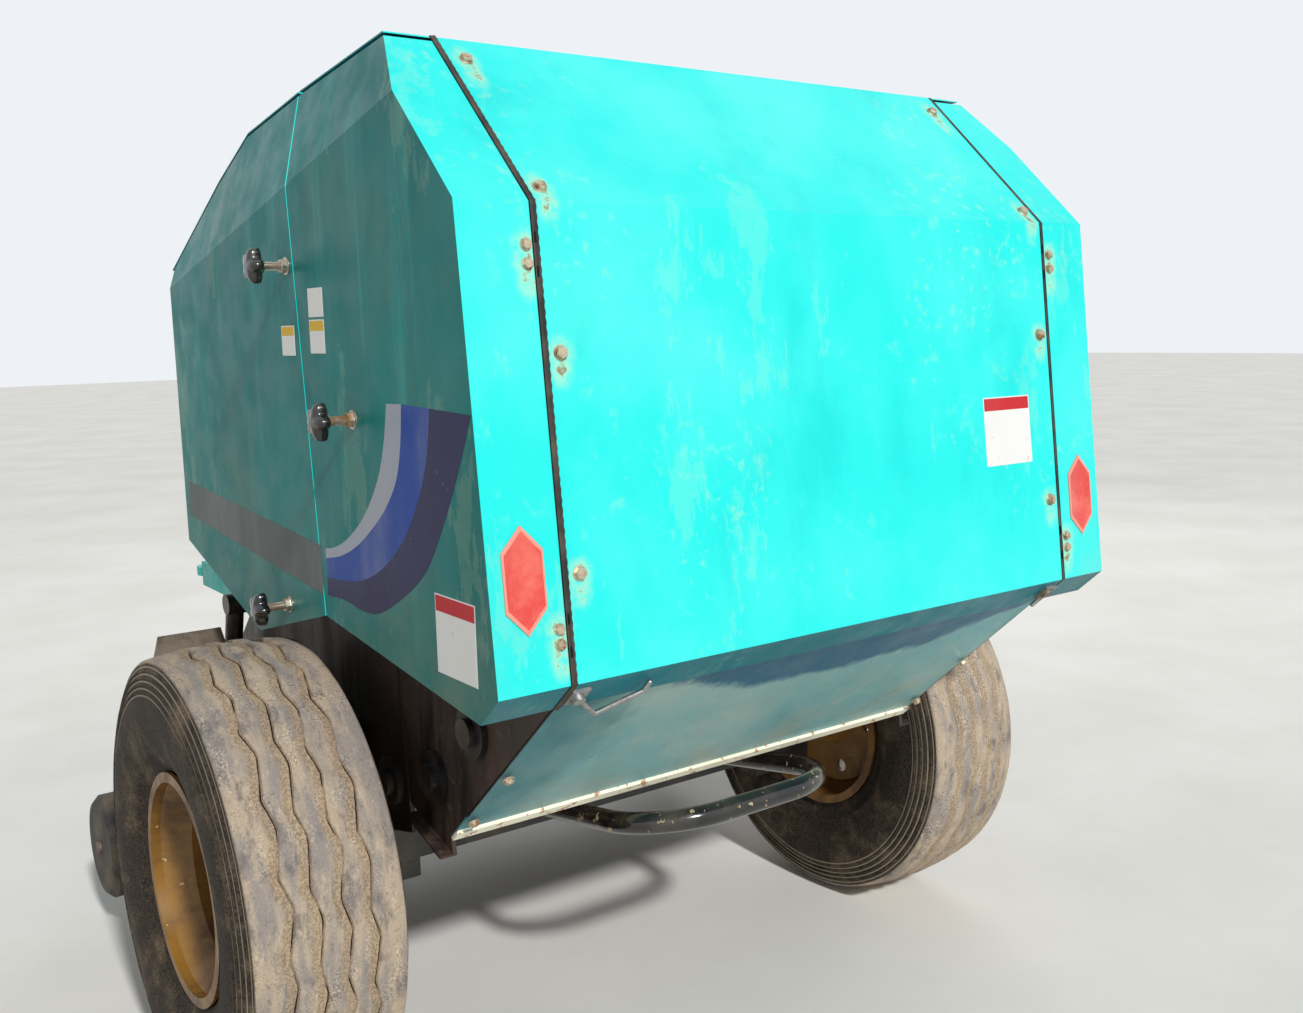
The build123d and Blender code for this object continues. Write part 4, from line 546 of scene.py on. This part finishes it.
def facing(place, normal, turn=0.0):
    """A matrix that puts a form at a place with its own Z along the normal."""
    lean = Vector(normal).to_track_quat("Z", "Y").to_matrix().to_4x4()
    return Matrix.Translation(place) @ lean @ Matrix.Rotation(turn, 4, "Z")


def band(shape, lower, upper):
    """Joins two closed rings of vertices with faces."""
    count = len(lower)
    faces = []
    for index in range(count):
        following = (index + 1) % count
        faces.append(shape.faces.new((lower[index], lower[following], upper[following], upper[index])))
    return faces


def tube(shape, rings, material=0):
    """Joins closed rings of vertices in a row and closes both ends."""
    faces = []
    for lower, upper in zip(rings, rings[1:]):
        faces += band(shape, lower, upper)
    faces += [shape.faces.new(rings[0][::-1]), shape.faces.new(rings[-1])]
    for face in faces:
        face.material_index = material
    return faces


def lathe(shape, place, outline, segments, lobes=0, swing=0.0, material=0):
    """Adds a turned form: an outline of (radius, height) in millimetres about the place's Z.

    With lobes, the radius swells and shrinks that many times a turn by a share of itself.
    """
    rings = []
    for radius, height in outline:
        ring = []
        for index in range(segments):
            turn = 2 * math.pi * index / segments
            reach = radius * (1 + swing * math.cos(lobes * turn)) if lobes else radius
            spot = Vector((reach * math.cos(turn), reach * math.sin(turn), height)) / 1000
            ring.append(shape.verts.new(place @ spot))
        rings.append(ring)
    tube(shape, rings, material)


def bolt(shape, place, size):
    """Adds a hexagon bolt with a washer: size is the thread in millimetres."""
    sunk = 0.6
    across = size * 0.98
    washer = size * 1.15
    lathe(shape, place, ((washer - 0.4, -sunk), (washer, -0.1), (washer, 1.2), (washer - 0.5, 1.7)), 24)
    head = [(across, 1.6), (across, 1.7 + size * 0.45), (across * 0.86, 1.7 + size * 0.62)]
    lathe(shape, place, head, 6)
    lathe(shape, place, ((size * 0.42, 1.6 + size * 0.4), (size * 0.40, 1.9 + size * 0.66)), 16)


def bolts(name, body, places, size):
    """One piece of bolts: each place is a point, a normal and a turn."""
    shape = bmesh.new()
    for spot, normal, turn in places:
        bolt(shape, facing(spot, normal, turn), size)
    return piece(name, shape, body, paint["rusty"])


# Fasteners on the tail

def outward(a, b):
    """The outward direction of the tail's face between two corners of its outline."""
    return Vector((b[1] - a[1], 0, a[0] - b[0])).normalized()


REAR_NORMAL = outward(REAR_HIGH, REAR_LOW)
SLOPE_NORMAL = outward(ROOF_REAR, REAR_HIGH)
LOWER_NORMAL = outward(REAR_LOW, LOWER_END)


def on_rear(y, z, out=0.0):
    """A point on the leaning rear face."""
    share = (z - REAR_LOW[1]) / (REAR_HIGH[1] - REAR_LOW[1])
    x = REAR_LOW[0] + (REAR_HIGH[0] - REAR_LOW[0]) * share
    return at(x, y, z) + REAR_NORMAL * out / 1000


def on_slope(y, z):
    """A point on the slope between the rear face and the roof."""
    share = (z - REAR_HIGH[1]) / (ROOF_REAR[1] - REAR_HIGH[1])
    return at(REAR_HIGH[0] + (ROOF_REAR[0] - REAR_HIGH[0]) * share, y, z)


def on_lower(y, distance, out):
    """A point on the lower panel, by its distance from the tail's lower corner."""
    share = distance / math.dist(REAR_LOW, LOWER_END)
    x, z = between(REAR_LOW, LOWER_END, share)
    return at(x, y, z) + LOWER_NORMAL * out / 1000


rear_places = [(on_rear(side * y, z), REAR_NORMAL, y + z) for side in (1, -1) for y, z in PANEL_BOLTS]
rear_places += [(on_slope(side * y, z), SLOPE_NORMAL, y * z) for side in (1, -1) for y, z in SLOPE_BOLTS]
bolts("panel_bolts", "gate", rear_places, 9.5)
lower_spots = [(side * y, run) for side in (1, -1) for y, run in LOWER_BOLTS]
lower_places = [(on_lower(y, run, LOWER_BOLTS_OUT), LOWER_NORMAL, run) for y, run in lower_spots]
bolts("lower_bolts", "gate", lower_places, 8.5)
for side, sign in (("left", 1), ("right", -1)):
    cover_places = [(on_rear(sign * y, z), REAR_NORMAL, y * z) for y, z in COVER_BOLTS]
    bolts(f"cover_bolts_{side}", f"gate_cover_{side}_body", cover_places, 7.5)


# Bolts on the front, the lids and the pick-up, set where a line first meets the sheet

# How far from a node the line starts, in metres, and where the bolts near both edges sit
REACH = 3.0
EDGES = (0.02, 0.98)


def struck(name, origin, direction, turn):
    """Where a line first meets a CAD node, with the face's outward direction; empty if it misses."""
    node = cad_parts[name]
    hit, place, normal, _ = node.ray_cast(node.matrix_world.inverted() @ Vector(origin), Vector(direction))
    if not hit or normal.dot(Vector(direction)) > -0.5:
        return []
    return [(node.matrix_world @ place, normal, turn)]


def row_of_bolts(name, node, body, direction, shares, size):
    """Bolts on one node at shares of its box, seen along a direction."""
    low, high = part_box(node)
    span = high - low
    places = []
    for index, (a, b, c) in enumerate(shares):
        spot = Vector((low.x + span.x * a, low.y + span.y * b, low.z + span.z * c))
        places += struck(node, spot - Vector(direction) * REACH, direction, index * 0.7)
    return bolts(name, body, places, size)


# Directions of the lines, then the bolts' places as shares of their node's box
BACK = (-1, 0, 0)
DOWN = (0, 0, -1)
front_shares = [(0.5, y, z) for y in EDGES for z in (0.1, 0.32, 0.54, 0.76)]
lid_shares = [(0.12, y, 0.5) for y in (0.06, 0.35, 0.65, 0.94)]
hood_shares = [(x, y, 0.5) for x in (0.22, 0.62, 0.92) for y in (0.03, 0.97)]
gearbox_shares = [(x, y, 0.5) for x in (0.2, 0.5) for y in (0.15, 0.85)]
pickup_shares = [(x, 0.5, z) for x, z in ((0.3, 0.3), (0.42, 0.62), (0.6, 0.2), (0.62, 0.5))]
row_of_bolts("front_bolts", "front_panel", "frame", BACK, front_shares, 7.0)
row_of_bolts("lid_bolts", "net_lid", "net_lid_body", DOWN, lid_shares, 6.0)
row_of_bolts("hood_bolts", "front_hood", "frame", DOWN, hood_shares, 7.0)
row_of_bolts("gearbox_bolts", "gearbox", "frame", DOWN, gearbox_shares, 7.0)
for side, sign in (("left", 1), ("right", -1)):
    row_of_bolts(f"pickup_bolts_{side}", "pickup_frame", "pickup", (0, -sign, 0), pickup_shares, 8.0)


# Tyres and wheels

# Zigzag grooves: where they lie across the tread, their section as (across, share of the depth), their waves,
# how far each is turned on from the last as a share of a wave, and how far they stray
GROOVES = (-68.0, -23.0, 23.0, 68.0)
GROOVE_SHAPE = (
    (-4.4, 0.0), (-3.0, 0.4), (-2.2, 1.0), (-0.9, 1.0),
    (0.0, 0.66), (5.0, 0.55), (13.0, 0.32), (19.0, 0.0)
)
GROOVE_DEPTH = 7.2
WAVES = 21
WAVE_SIZE = 6.5
WAVE_RISE = 0.38
WAVE_SHIFT = 0.22
STRAY = 5.0
STEPS_PER_WAVE = 12

# The sidewall: three points of its arch as (radius, across), and how far its rings stand out
WALL_ARCH = ((391.0, 127.5), (312.0, 144.0), (218.0, 112.0))
RING_OUT = 2.6

# The shoulder above the sidewall's rings and the bead below them, as (across, radius)
SHOULDER = ((123.5, 404.0), (126.5, 398.0))
BEAD = ((111.0, 214.0), (109.0, 207.0), (100.0, 206.6))

# The wheel's outer side: how far out the disc, the hub and the valve lie, the nuts, and the valve's circle
DISC_Y = 703
HUB_Y = 741
VALVE_Y = 742
NUTS = 6
NUT_CIRCLE = 102.5
VALVE_CIRCLE = 158


def sidewall(radius):
    """How far the sidewall stands out at a radius, without its rings."""
    a, b, c = WALL_ARCH
    total = 0.0
    for (r0, y0), (r1, _), (r2, _) in ((a, b, c), (b, a, c), (c, a, b)):
        total += y0 * (radius - r1) * (radius - r2) / ((r0 - r1) * (r0 - r2))
    return total


def tyre_section(turn):
    """The tyre's section at one turn of the wheel, as (across, radius)."""
    line = []
    for index, groove in enumerate(GROOVES):
        phase = (turn / (2 * math.pi) * WAVES + WAVE_SHIFT * index) % 1.0
        rising = phase < WAVE_RISE
        wave = 1 - 2 * phase / WAVE_RISE if rising else 2 * (phase - WAVE_RISE) / (1 - WAVE_RISE) - 1
        drift = noise.noise((3 * math.cos(turn), 3 * math.sin(turn), index * 5.3))
        centre = groove + WAVE_SIZE * wave + STRAY * drift
        filled = noise.noise((11 * math.cos(turn), 11 * math.sin(turn), index * 7.9))
        deep = GROOVE_DEPTH * (0.78 + 0.5 * max(-0.9, min(0.4, filled)))
        start = -TREAD_HALF if index == 0 else line[-1][0]
        for share in (0.0, 0.33, 0.66) if index == 0 else (0.3, 0.6):
            line.append((start + (centre + GROOVE_SHAPE[0][0] - start) * share, 0.0))
        line += [(centre + across, deep * share) for across, share in GROOVE_SHAPE]
    last = line[-1][0]
    line += [(last + (TREAD_HALF - last) * share, 0.0) for share in (0.33, 0.66, 1.0)]
    bend = (CROWN_R - SHOULDER_R) / TREAD_HALF ** 2
    tread = [(y, CROWN_R - bend * y * y - depth) for y, depth in line]
    wall = list(SHOULDER)
    for ring in range(RINGS):
        top = RING_TOP_R - ring * RING_STEP
        for drop, out in ((0.0, 0.0), (1.5, RING_OUT), (4.5, RING_OUT), (6.5, 0.0)):
            wall.append((sidewall(top - drop) + out, top - drop))
    wall += [(sidewall(r), r) for r in (328, 312, 296, 280, 264, 252)]
    wall += [(sidewall(246) + RING_OUT, 247), (sidewall(241) + RING_OUT, 241)]
    wall += [(sidewall(r), r) for r in (238, 226)]
    wall += BEAD
    return [(-y, r) for y, r in wall[::-1]] + tread + wall


def make_tyre(side, sign):
    """A ribbed implement tyre with zigzag grooves, in place of the plain one."""
    steps = WAVES * STEPS_PER_WAVE
    centre = Vector((AXLE_X, sign * TRACK_HALF / 1000, AXLE_Z))
    shape = bmesh.new()
    rings = []
    for step in range(steps):
        turn = 2 * math.pi * step / steps
        ring = []
        for across, radius in tyre_section(turn):
            spot = Vector((math.cos(turn), across / 40, math.sin(turn))) * 9
            worn = noise.noise(spot) * 0.7 + noise.noise(spot * 4.1) * 0.3
            reach = (radius + worn) / 1000
            place = Vector((reach * math.cos(turn), sign * across / 1000, reach * math.sin(turn)))
            ring.append(shape.verts.new(centre + place))
        rings.append(ring)
    for here, following in zip(rings, rings[1:] + rings[:1]):
        band(shape, here, following)
    tyre = piece(f"ribbed_tyre_{side}", shape, f"wheel_{side}_body", paint["tyre"], 38)
    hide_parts(f"tyre_{side}")


def make_wheel_fittings(side, sign):
    """Wheel nuts, hub cap and valve on a wheel's outer side; the axle lies one tyre radius up."""
    side_on = Vector((0, sign, 0))
    shape = bmesh.new()
    for index in range(NUTS):
        turn = 2 * math.pi * index / NUTS
        spot = at(NUT_CIRCLE * math.cos(turn), sign * DISC_Y, CROWN_R + NUT_CIRCLE * math.sin(turn))
        nut = facing(spot, side_on, turn)
        lathe(shape, nut, ((19, -0.5), (19, 2), (17, 4)), 24)
        lathe(shape, nut, ((15, 3), (15, 14), (12.5, 17)), 6)
        lathe(shape, nut, ((8, 10), (8, 23), (6.6, 25)), 16)
    cap = facing(at(0, sign * HUB_Y, CROWN_R), side_on)
    lathe(shape, cap, ((43, -4), (43, 2), (40, 4), (38, 16), (33, 22), (22, 26), (8, 27.5)), 40)
    valve = facing(at(0, sign * VALVE_Y, CROWN_R + VALVE_CIRCLE), side_on + Vector((0, 0, -0.35)))
    lathe(shape, valve, ((5.5, -14), (5.5, 18), (4.2, 20), (4.2, 34), (3.4, 35)), 14)
    piece(f"wheel_fittings_{side}", shape, f"wheel_{side}_body", paint["rusty"])


for side, sign in (("left", 1), ("right", -1)):
    make_tyre(side, sign)
    make_wheel_fittings(side, sign)


# Seals in the seams beside the rear panel

def seal(name, places, profile):
    """A strip along the tail: places are (point, outward), and profile gives each ring's (left, outward)."""
    shape = bmesh.new()
    left = Vector((0, 1, 0))
    rings = []
    for index, (spot, out) in enumerate(places):
        rings.append([shape.verts.new(spot + left * a / 1000 + out * b / 1000) for a, b in profile(index)])
    tube(shape, rings)
    return piece(name, shape, "gate", paint["seal"])


def seam_places(y, step):
    """Points down the tail's outline at one distance to the left, with the outward direction at each."""
    start = between(ROOF_REAR, ROOF_SEAM, 0.02)
    end = between(REAR_LOW, LOWER_END, 0.13)
    corners = (start, ROOF_REAR, REAR_HIGH, REAR_LOW, end)
    places = []
    for a, b in zip(corners, corners[1:]):
        count = max(1, round(math.dist(a, b) / step))
        for index in range(count + 1):
            x, z = between(a, b, index / count)
            places.append((at(x, y, z), outward(a, b)))
    return places


def toothed(index):
    """The edge trim's section, with a tooth on every other ring."""
    tooth = 1.2 if index % 2 else 0.0
    side = -5.4 - tooth
    lip = ((side, -1.0), (side, 1.8), (-4.4, 2.8), (-3.2, 2.7), (-2.4, 1.9))
    return lip + ((1.8, 1.9), (3.2, 1.2 + tooth * 0.4), (3.2, -1.0))


def thin(index):
    """The section of the flat seal in the right seam."""
    return ((-2.6, -1.5), (-2.6, 0.3), (2.6, 0.3), (2.6, -1.5))


seal("seal_left", seam_places(STRIP_Y, 7.0), toothed)
seal("seal_right", seam_places(-STRIP_Y, 40.0), thin)


# Knobs on the covers and doors

# A lobed handle: its lobes, its mean radius and how far the lobes swing about it, and its stem's thread
LOBES = 5
HANDLE_R = 25.5
LOBE_SWING = 5.0
THREAD_PITCH = 1.5

# A lobed handle's side, as (share of its radius, height)
HANDLE = ((0.80, 45.0), (0.97, 47.5), (1.0, 52.0), (0.98, 59.0), (0.88, 64.0), (0.62, 67.0), (0.3, 68.0))

# Knobs by the node they stand for: the panel that carries them and their places as (x, z)
KNOBS = (
    ("gate_knob", "gate_cover", ((-358, 1245),)),
    ("door_knobs", "side_door", ((-114, 1490), (-30, 901))),
)


def make_knob(shape, x, z, sign):
    """A lobed knob on a threaded stem: stem parts get material 0 and the handle material 1."""
    base = facing(at(x, sign * SIDE_Y, z), (0, sign, 0))
    lathe(shape, base, ((15, -0.5), (15, 1.5), (13.5, 2.2)), 28)
    lathe(shape, base, ((12.5, 2), (12.5, 10), (11, 11.5)), 6)
    thread = []
    for index in range(22):
        height = 11.0 + index * THREAD_PITCH
        thread += [(6.1, height), (7.1, height + THREAD_PITCH / 2)]
    lathe(shape, base, thread + [(6.1, 44)], 20)
    lathe(shape, base, ((11, 40), (11.5, 41), (11.5, 45), (10, 46)), 28)
    handle = [(HANDLE_R * share, height) for share, height in HANDLE]
    lathe(shape, base, handle, 60, LOBES, LOBE_SWING / HANDLE_R, material=1)


for side, sign in (("left", 1), ("right", -1)):
    for node, body, places in KNOBS:
        shape = bmesh.new()
        for x, z in places:
            make_knob(shape, x, z, sign)
        name = f"lobed_{node}_{side}"
        looks = [paint["plated"], paint["knob"]]
        knob = piece(name, shape, f"{body}_{side}_body", looks, 40)
        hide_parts(f"{node}_{side}")


# Stripes and blank plates on the covers

# How far film reaches into the sheet, in millimetres
SINK = 0.2


def flat_look(name, color, rough=0.35, wear=0.3, pale=None):
    """Printed film: an even colour that has faded and scuffed in places."""
    look = Look(name)
    fade = look.span(look.cloud(9, 6, stretch=(1, 1, 0.35), shift=4.9), 0.45, 0.8)
    scuff = look.span(look.cloud(90, 5, shift=1.9), 0.66, 0.72)
    mixed = look.cover(color, pale or rgb(190, 190, 186), fade, wear)
    mixed = look.cover(mixed, rgb(120, 124, 122), scuff, 0.5)
    look.bump((look.cloud(3.2, 2, shift=6.1), 3.0))
    return look.finish(mixed, look.span(fade, 0, 1, rough, rough + 0.15), specular=FADED_SPECULAR)


film = {
    "silver": flat_look("film_silver", rgb(164, 170, 182)),
    "blue": flat_look("film_blue", rgb(32, 72, 156)),
    "navy": flat_look("film_navy", rgb(48, 50, 86), 0.35, 0.25, rgb(96, 82, 92)),
    "grey": flat_look("film_grey", rgb(84, 92, 92)),
    "white": flat_look("film_white", rgb(232, 232, 228), 0.4, 0.15),
    "yellow": flat_look("film_yellow", rgb(226, 180, 48), 0.4, 0.2),
    "red": flat_look("film_red", rgb(196, 52, 58), 0.4, 0.2, rgb(226, 140, 136)),
}


def patch(name, body, outlines, look, lift=0.35):
    """Thin film on a face: outlines are lists of points on the face, each with the face's outward direction.

    The film stands out by the lift, in millimetres, and reaches a little into the sheet.
    """
    shape = bmesh.new()
    for points, out in outlines:
        top = [shape.verts.new(p + out * lift / 1000) for p in points]
        low = [shape.verts.new(p - out * SINK / 1000) for p in points]
        tube(shape, (low, top))
    bmesh.ops.triangulate(shape, faces=[f for f in shape.faces if len(f.verts) > 4])
    return piece(name, shape, body, look)


def strip_quads(first, second, sign):
    """Quads between two edges of the same number of points on a side cover."""
    out = Vector((0, sign, 0))
    quads = []
    for (a, b), (c, d) in zip(zip(first, first[1:]), zip(second, second[1:])):
        quads.append(([at(x, sign * SIDE_Y, z) for x, z in (a, b, d, c)], out))
    return quads


def even(points, count):
    """A smooth line through the points in a set number of stretches of even length."""
    line = smooth_line(points, 12)
    lengths = [0.0]
    for a, b in zip(line, line[1:]):
        lengths.append(lengths[-1] + math.dist(a, b))
    result = []
    for index in range(count + 1):
        goal = lengths[-1] * index / count
        spot = next(i for i in range(1, len(lengths)) if lengths[i] >= goal - 1e-9)
        span = lengths[spot] - lengths[spot - 1]
        result.append(between(line[spot - 1], line[spot], (goal - lengths[spot - 1]) / span if span else 0))
    return result


# Edges of the swept stripes on a gate cover, from the door seam up to their cut top
SWEEP = (
    ((-214, 1026), (-250, 1032), (-302, 1050), (-362, 1084),
     (-410, 1125), (-446, 1170), (-469, 1220), (-483, 1274)),
    ((-214, 1010), (-279, 1022), (-345, 1046), (-404, 1078),
     (-462, 1118), (-504, 1163), (-524, 1215), (-534, 1275)),
    ((-214, 978), (-280, 982), (-360, 994), (-440, 1024),
     (-520, 1078), (-578, 1146), (-608, 1205), (-623, 1272)),
    ((-214, 947), (-287, 950), (-365, 944), (-440, 958),
     (-571, 1026), (-640, 1100), (-700, 1190), (-743, 1268)),
)

# Upper and lower edge of the grey stripe on a side door
DOOR_TOP = ((532, 1075), (-193, 1028))
DOOR_BOTTOM = ((549, 1003), (-193, 945))

edges = [even(edge, 36) for edge in SWEEP]
for side, sign in (("left", 1), ("right", -1)):
    for key, first, second in zip(("silver", "blue", "navy"), edges, edges[1:]):
        patch(f"stripe_{key}_{side}", f"gate_cover_{side}_body", strip_quads(first, second, sign), film[key])
    grey = strip_quads(DOOR_TOP, DOOR_BOTTOM, sign)
    patch(f"stripe_grey_{side}", f"side_door_{side}_body", grey, film["grey"])


def plate(name, body, corner, width, height, face, head, head_share):
    """A blank plate with a coloured head: face gives the point and outward direction for (across, up)."""
    inset = 2.0
    split = height * (1 - head_share)
    parts = (
        ("edge", 0, 0, width, height, film["white"], 0.30),
        ("field", inset, inset, width - inset, split, film["white"], 0.42),
        ("head", inset, split + 0.5, width - inset, height - inset, film[head], 0.45),
    )
    for label, left, low, right, high, look, lift in parts:
        corners = ((left, low), (right, low), (right, high), (left, high))
        spots = [face(corner[0] + a, corner[1] + b) for a, b in corners]
        patch(f"{name}_{label}", body, [([spot for spot, _ in spots], spots[0][1])], look, lift)


def left_face(x, z):
    """A point on the left side cover."""
    return at(x, SIDE_Y, z), Vector((0, 1, 0))


def rear_face(y, z):
    """A point on the rear face."""
    return on_rear(y, z), REAR_NORMAL


plate("plate_note", "gate_cover_left_body", (-264, 1404), 62, 46, left_face, "white", 0.25)
plate("plate_cover", "gate_cover_left_body", (-264, 1346), 62, 54, left_face, "yellow", 0.34)
plate("plate_door", "side_door_left_body", (-133, 1342), 60, 50, left_face, "yellow", 0.34)
plate("plate_side", "gate_cover_left_body", (-730, 900), 118, 114, left_face, "red", 0.22)
plate("plate_rear", "gate", (-469, 1118), 124, 120, rear_face, "red", 0.20)


# Reflectors

def reflector_look(name):
    """Red moulded lens with a fine prism pattern."""
    look = Look(name)
    cells = look.add("ShaderNodeTexVoronoi", look.place)
    cells.inputs["Scale"].default_value = 230.0
    cells.inputs["Randomness"].default_value = 0.15
    faded = look.span(look.cloud(22, 5, shift=3.6), 0.35, 0.7)
    color = look.cover(rgb(222, 62, 54), rgb(244, 128, 110), faded, 0.6)
    look.bump((cells.outputs["Distance"], 0.5))
    return look.finish(color, 0.3, coat=0.6)


# The lens: its middle, half its width, its height, the height of each point, and its rings as (scale, out)
LENS_Y = 600
LENS_Z = 1046
LENS_HALF = 32
LENS_TALL = 148
LENS_CUT = 34
LENS_RINGS = ((1.0, -0.2), (1.0, 2.2), (0.95, 3.0), (0.90, 3.0), (0.87, 2.4), (0.30, 2.5))
RIM_RINGS = 3


def make_reflector(side, sign):
    """A bevelled six-sided lens: the middle gets material 0 and the pale rim material 1."""
    long = LENS_TALL / 2
    short = long - LENS_CUT
    half = LENS_HALF
    outline = ((0, -long), (half, -short), (half, short), (0, long), (-half, short), (-half, -short))
    shape = bmesh.new()
    rings = []
    for scale, out in LENS_RINGS:
        spots = [on_rear(sign * LENS_Y + across * scale, LENS_Z + up * scale, out) for across, up in outline]
        rings.append([shape.verts.new(spot) for spot in spots])
    faces = tube(shape, rings)
    for face in faces[:RIM_RINGS * len(outline)]:
        face.material_index = 1
    lens = piece(f"lens_{side}", shape, f"gate_cover_{side}_body", [lens_red, lens_rim])
    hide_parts(f"reflector_{side}")


lens_red = reflector_look("lens_red")
lens_rim = plastic("lens_rim", rgb(246, 150, 132), 0.35, 0.3, 0.15)
for side, sign in (("left", 1), ("right", -1)):
    make_reflector(side, sign)


# Floor, light and camera

floor_shape = bmesh.new()
bmesh.ops.create_grid(floor_shape, x_segments=1, y_segments=1, size=40.0)
floor_mesh = bpy.data.meshes.new("floor")
floor_shape.to_mesh(floor_mesh)
floor_shape.free()
floor = bpy.data.objects.new("floor", floor_mesh)
bpy.context.collection.objects.link(floor)
floor_look = Look("floor_pale")
tone = floor_look.span(floor_look.cloud(1.2, 5), 0.3, 0.7)
floor_color = floor_look.blend(tone, rgb(232, 230, 223), rgb(242, 240, 234))
floor_mesh.materials.append(floor_look.finish(floor_color, 0.85))

# The backdrop's strength: as a light, and as it is seen or mirrored
SKY_LIGHT = 0.30
SKY_SEEN = 0.92

world = bpy.data.worlds.new("studio")
world.use_nodes = True
bpy.context.scene.world = world
tree = world.node_tree
background = tree.nodes["Background"]
background.inputs["Color"].default_value = (0.93, 0.96, 1.0, 1.0)
rays = tree.nodes.new("ShaderNodeLightPath").outputs
seen = rays["Is Camera Ray"]
for kind in ("Is Glossy Ray", "Is Transmission Ray"):
    either = tree.nodes.new("ShaderNodeMath")
    either.operation = "MAXIMUM"
    tree.links.new(seen, either.inputs[0])
    tree.links.new(rays[kind], either.inputs[1])
    seen = either.outputs[0]
level = tree.nodes.new("ShaderNodeMapRange")
level.inputs["To Min"].default_value = SKY_LIGHT
level.inputs["To Max"].default_value = SKY_SEEN
tree.links.new(seen, level.inputs["Value"])
tree.links.new(level.outputs[0], background.inputs["Strength"])


def lamp(name, kind, place, target, energy):
    """A lamp that points at a target; its data comes back, so that its size can be set."""
    data = bpy.data.lights.new(name, kind)
    data.energy = energy
    light = bpy.data.objects.new(name, data)
    bpy.context.collection.objects.link(light)
    light.location = place
    light.rotation_euler = (Vector(target) - Vector(place)).to_track_quat("-Z", "Y").to_euler()
    return data


centre = at(-100, 0, 900)
lamp("key", "SUN", centre + Vector((-5.2, 0.85, 3.75)), centre, 2.7).angle = math.radians(4)
lamp("fill", "AREA", centre + Vector((4.5, -4.5, 3.2)), centre, 70).size = 4.0

# The photograph's viewpoint, from the fit to the picture
SENSOR = 36.0
FOCAL = 35.18
VIEWPOINT = (-2213.7, 1431.4, 1376.8)
YAW = math.radians(-35.826)
PITCH_DOWN = math.radians(8.064)
ROLL = math.radians(-1.390)

camera_data = bpy.data.cameras.new("camera")
camera_data.sensor_fit = "HORIZONTAL"
camera_data.sensor_width = SENSOR
camera_data.lens = FOCAL
camera_data.clip_end = 200.0
camera = bpy.data.objects.new("camera", camera_data)
bpy.context.collection.objects.link(camera)
level_run = math.cos(PITCH_DOWN)
forward = Vector((math.cos(YAW) * level_run, math.sin(YAW) * level_run, -math.sin(PITCH_DOWN)))
right = Vector((math.sin(YAW), -math.cos(YAW), 0))
up = right.cross(forward)
turned_right = right * math.cos(ROLL) + up * math.sin(ROLL)
turned_up = up * math.cos(ROLL) - right * math.sin(ROLL)
axes = Matrix((turned_right, turned_up, -forward)).transposed().to_4x4()
camera.matrix_world = Matrix.Translation(at(*VIEWPOINT)) @ axes
bpy.context.scene.camera = camera
bpy.context.scene.view_settings.view_transform = "Standard"
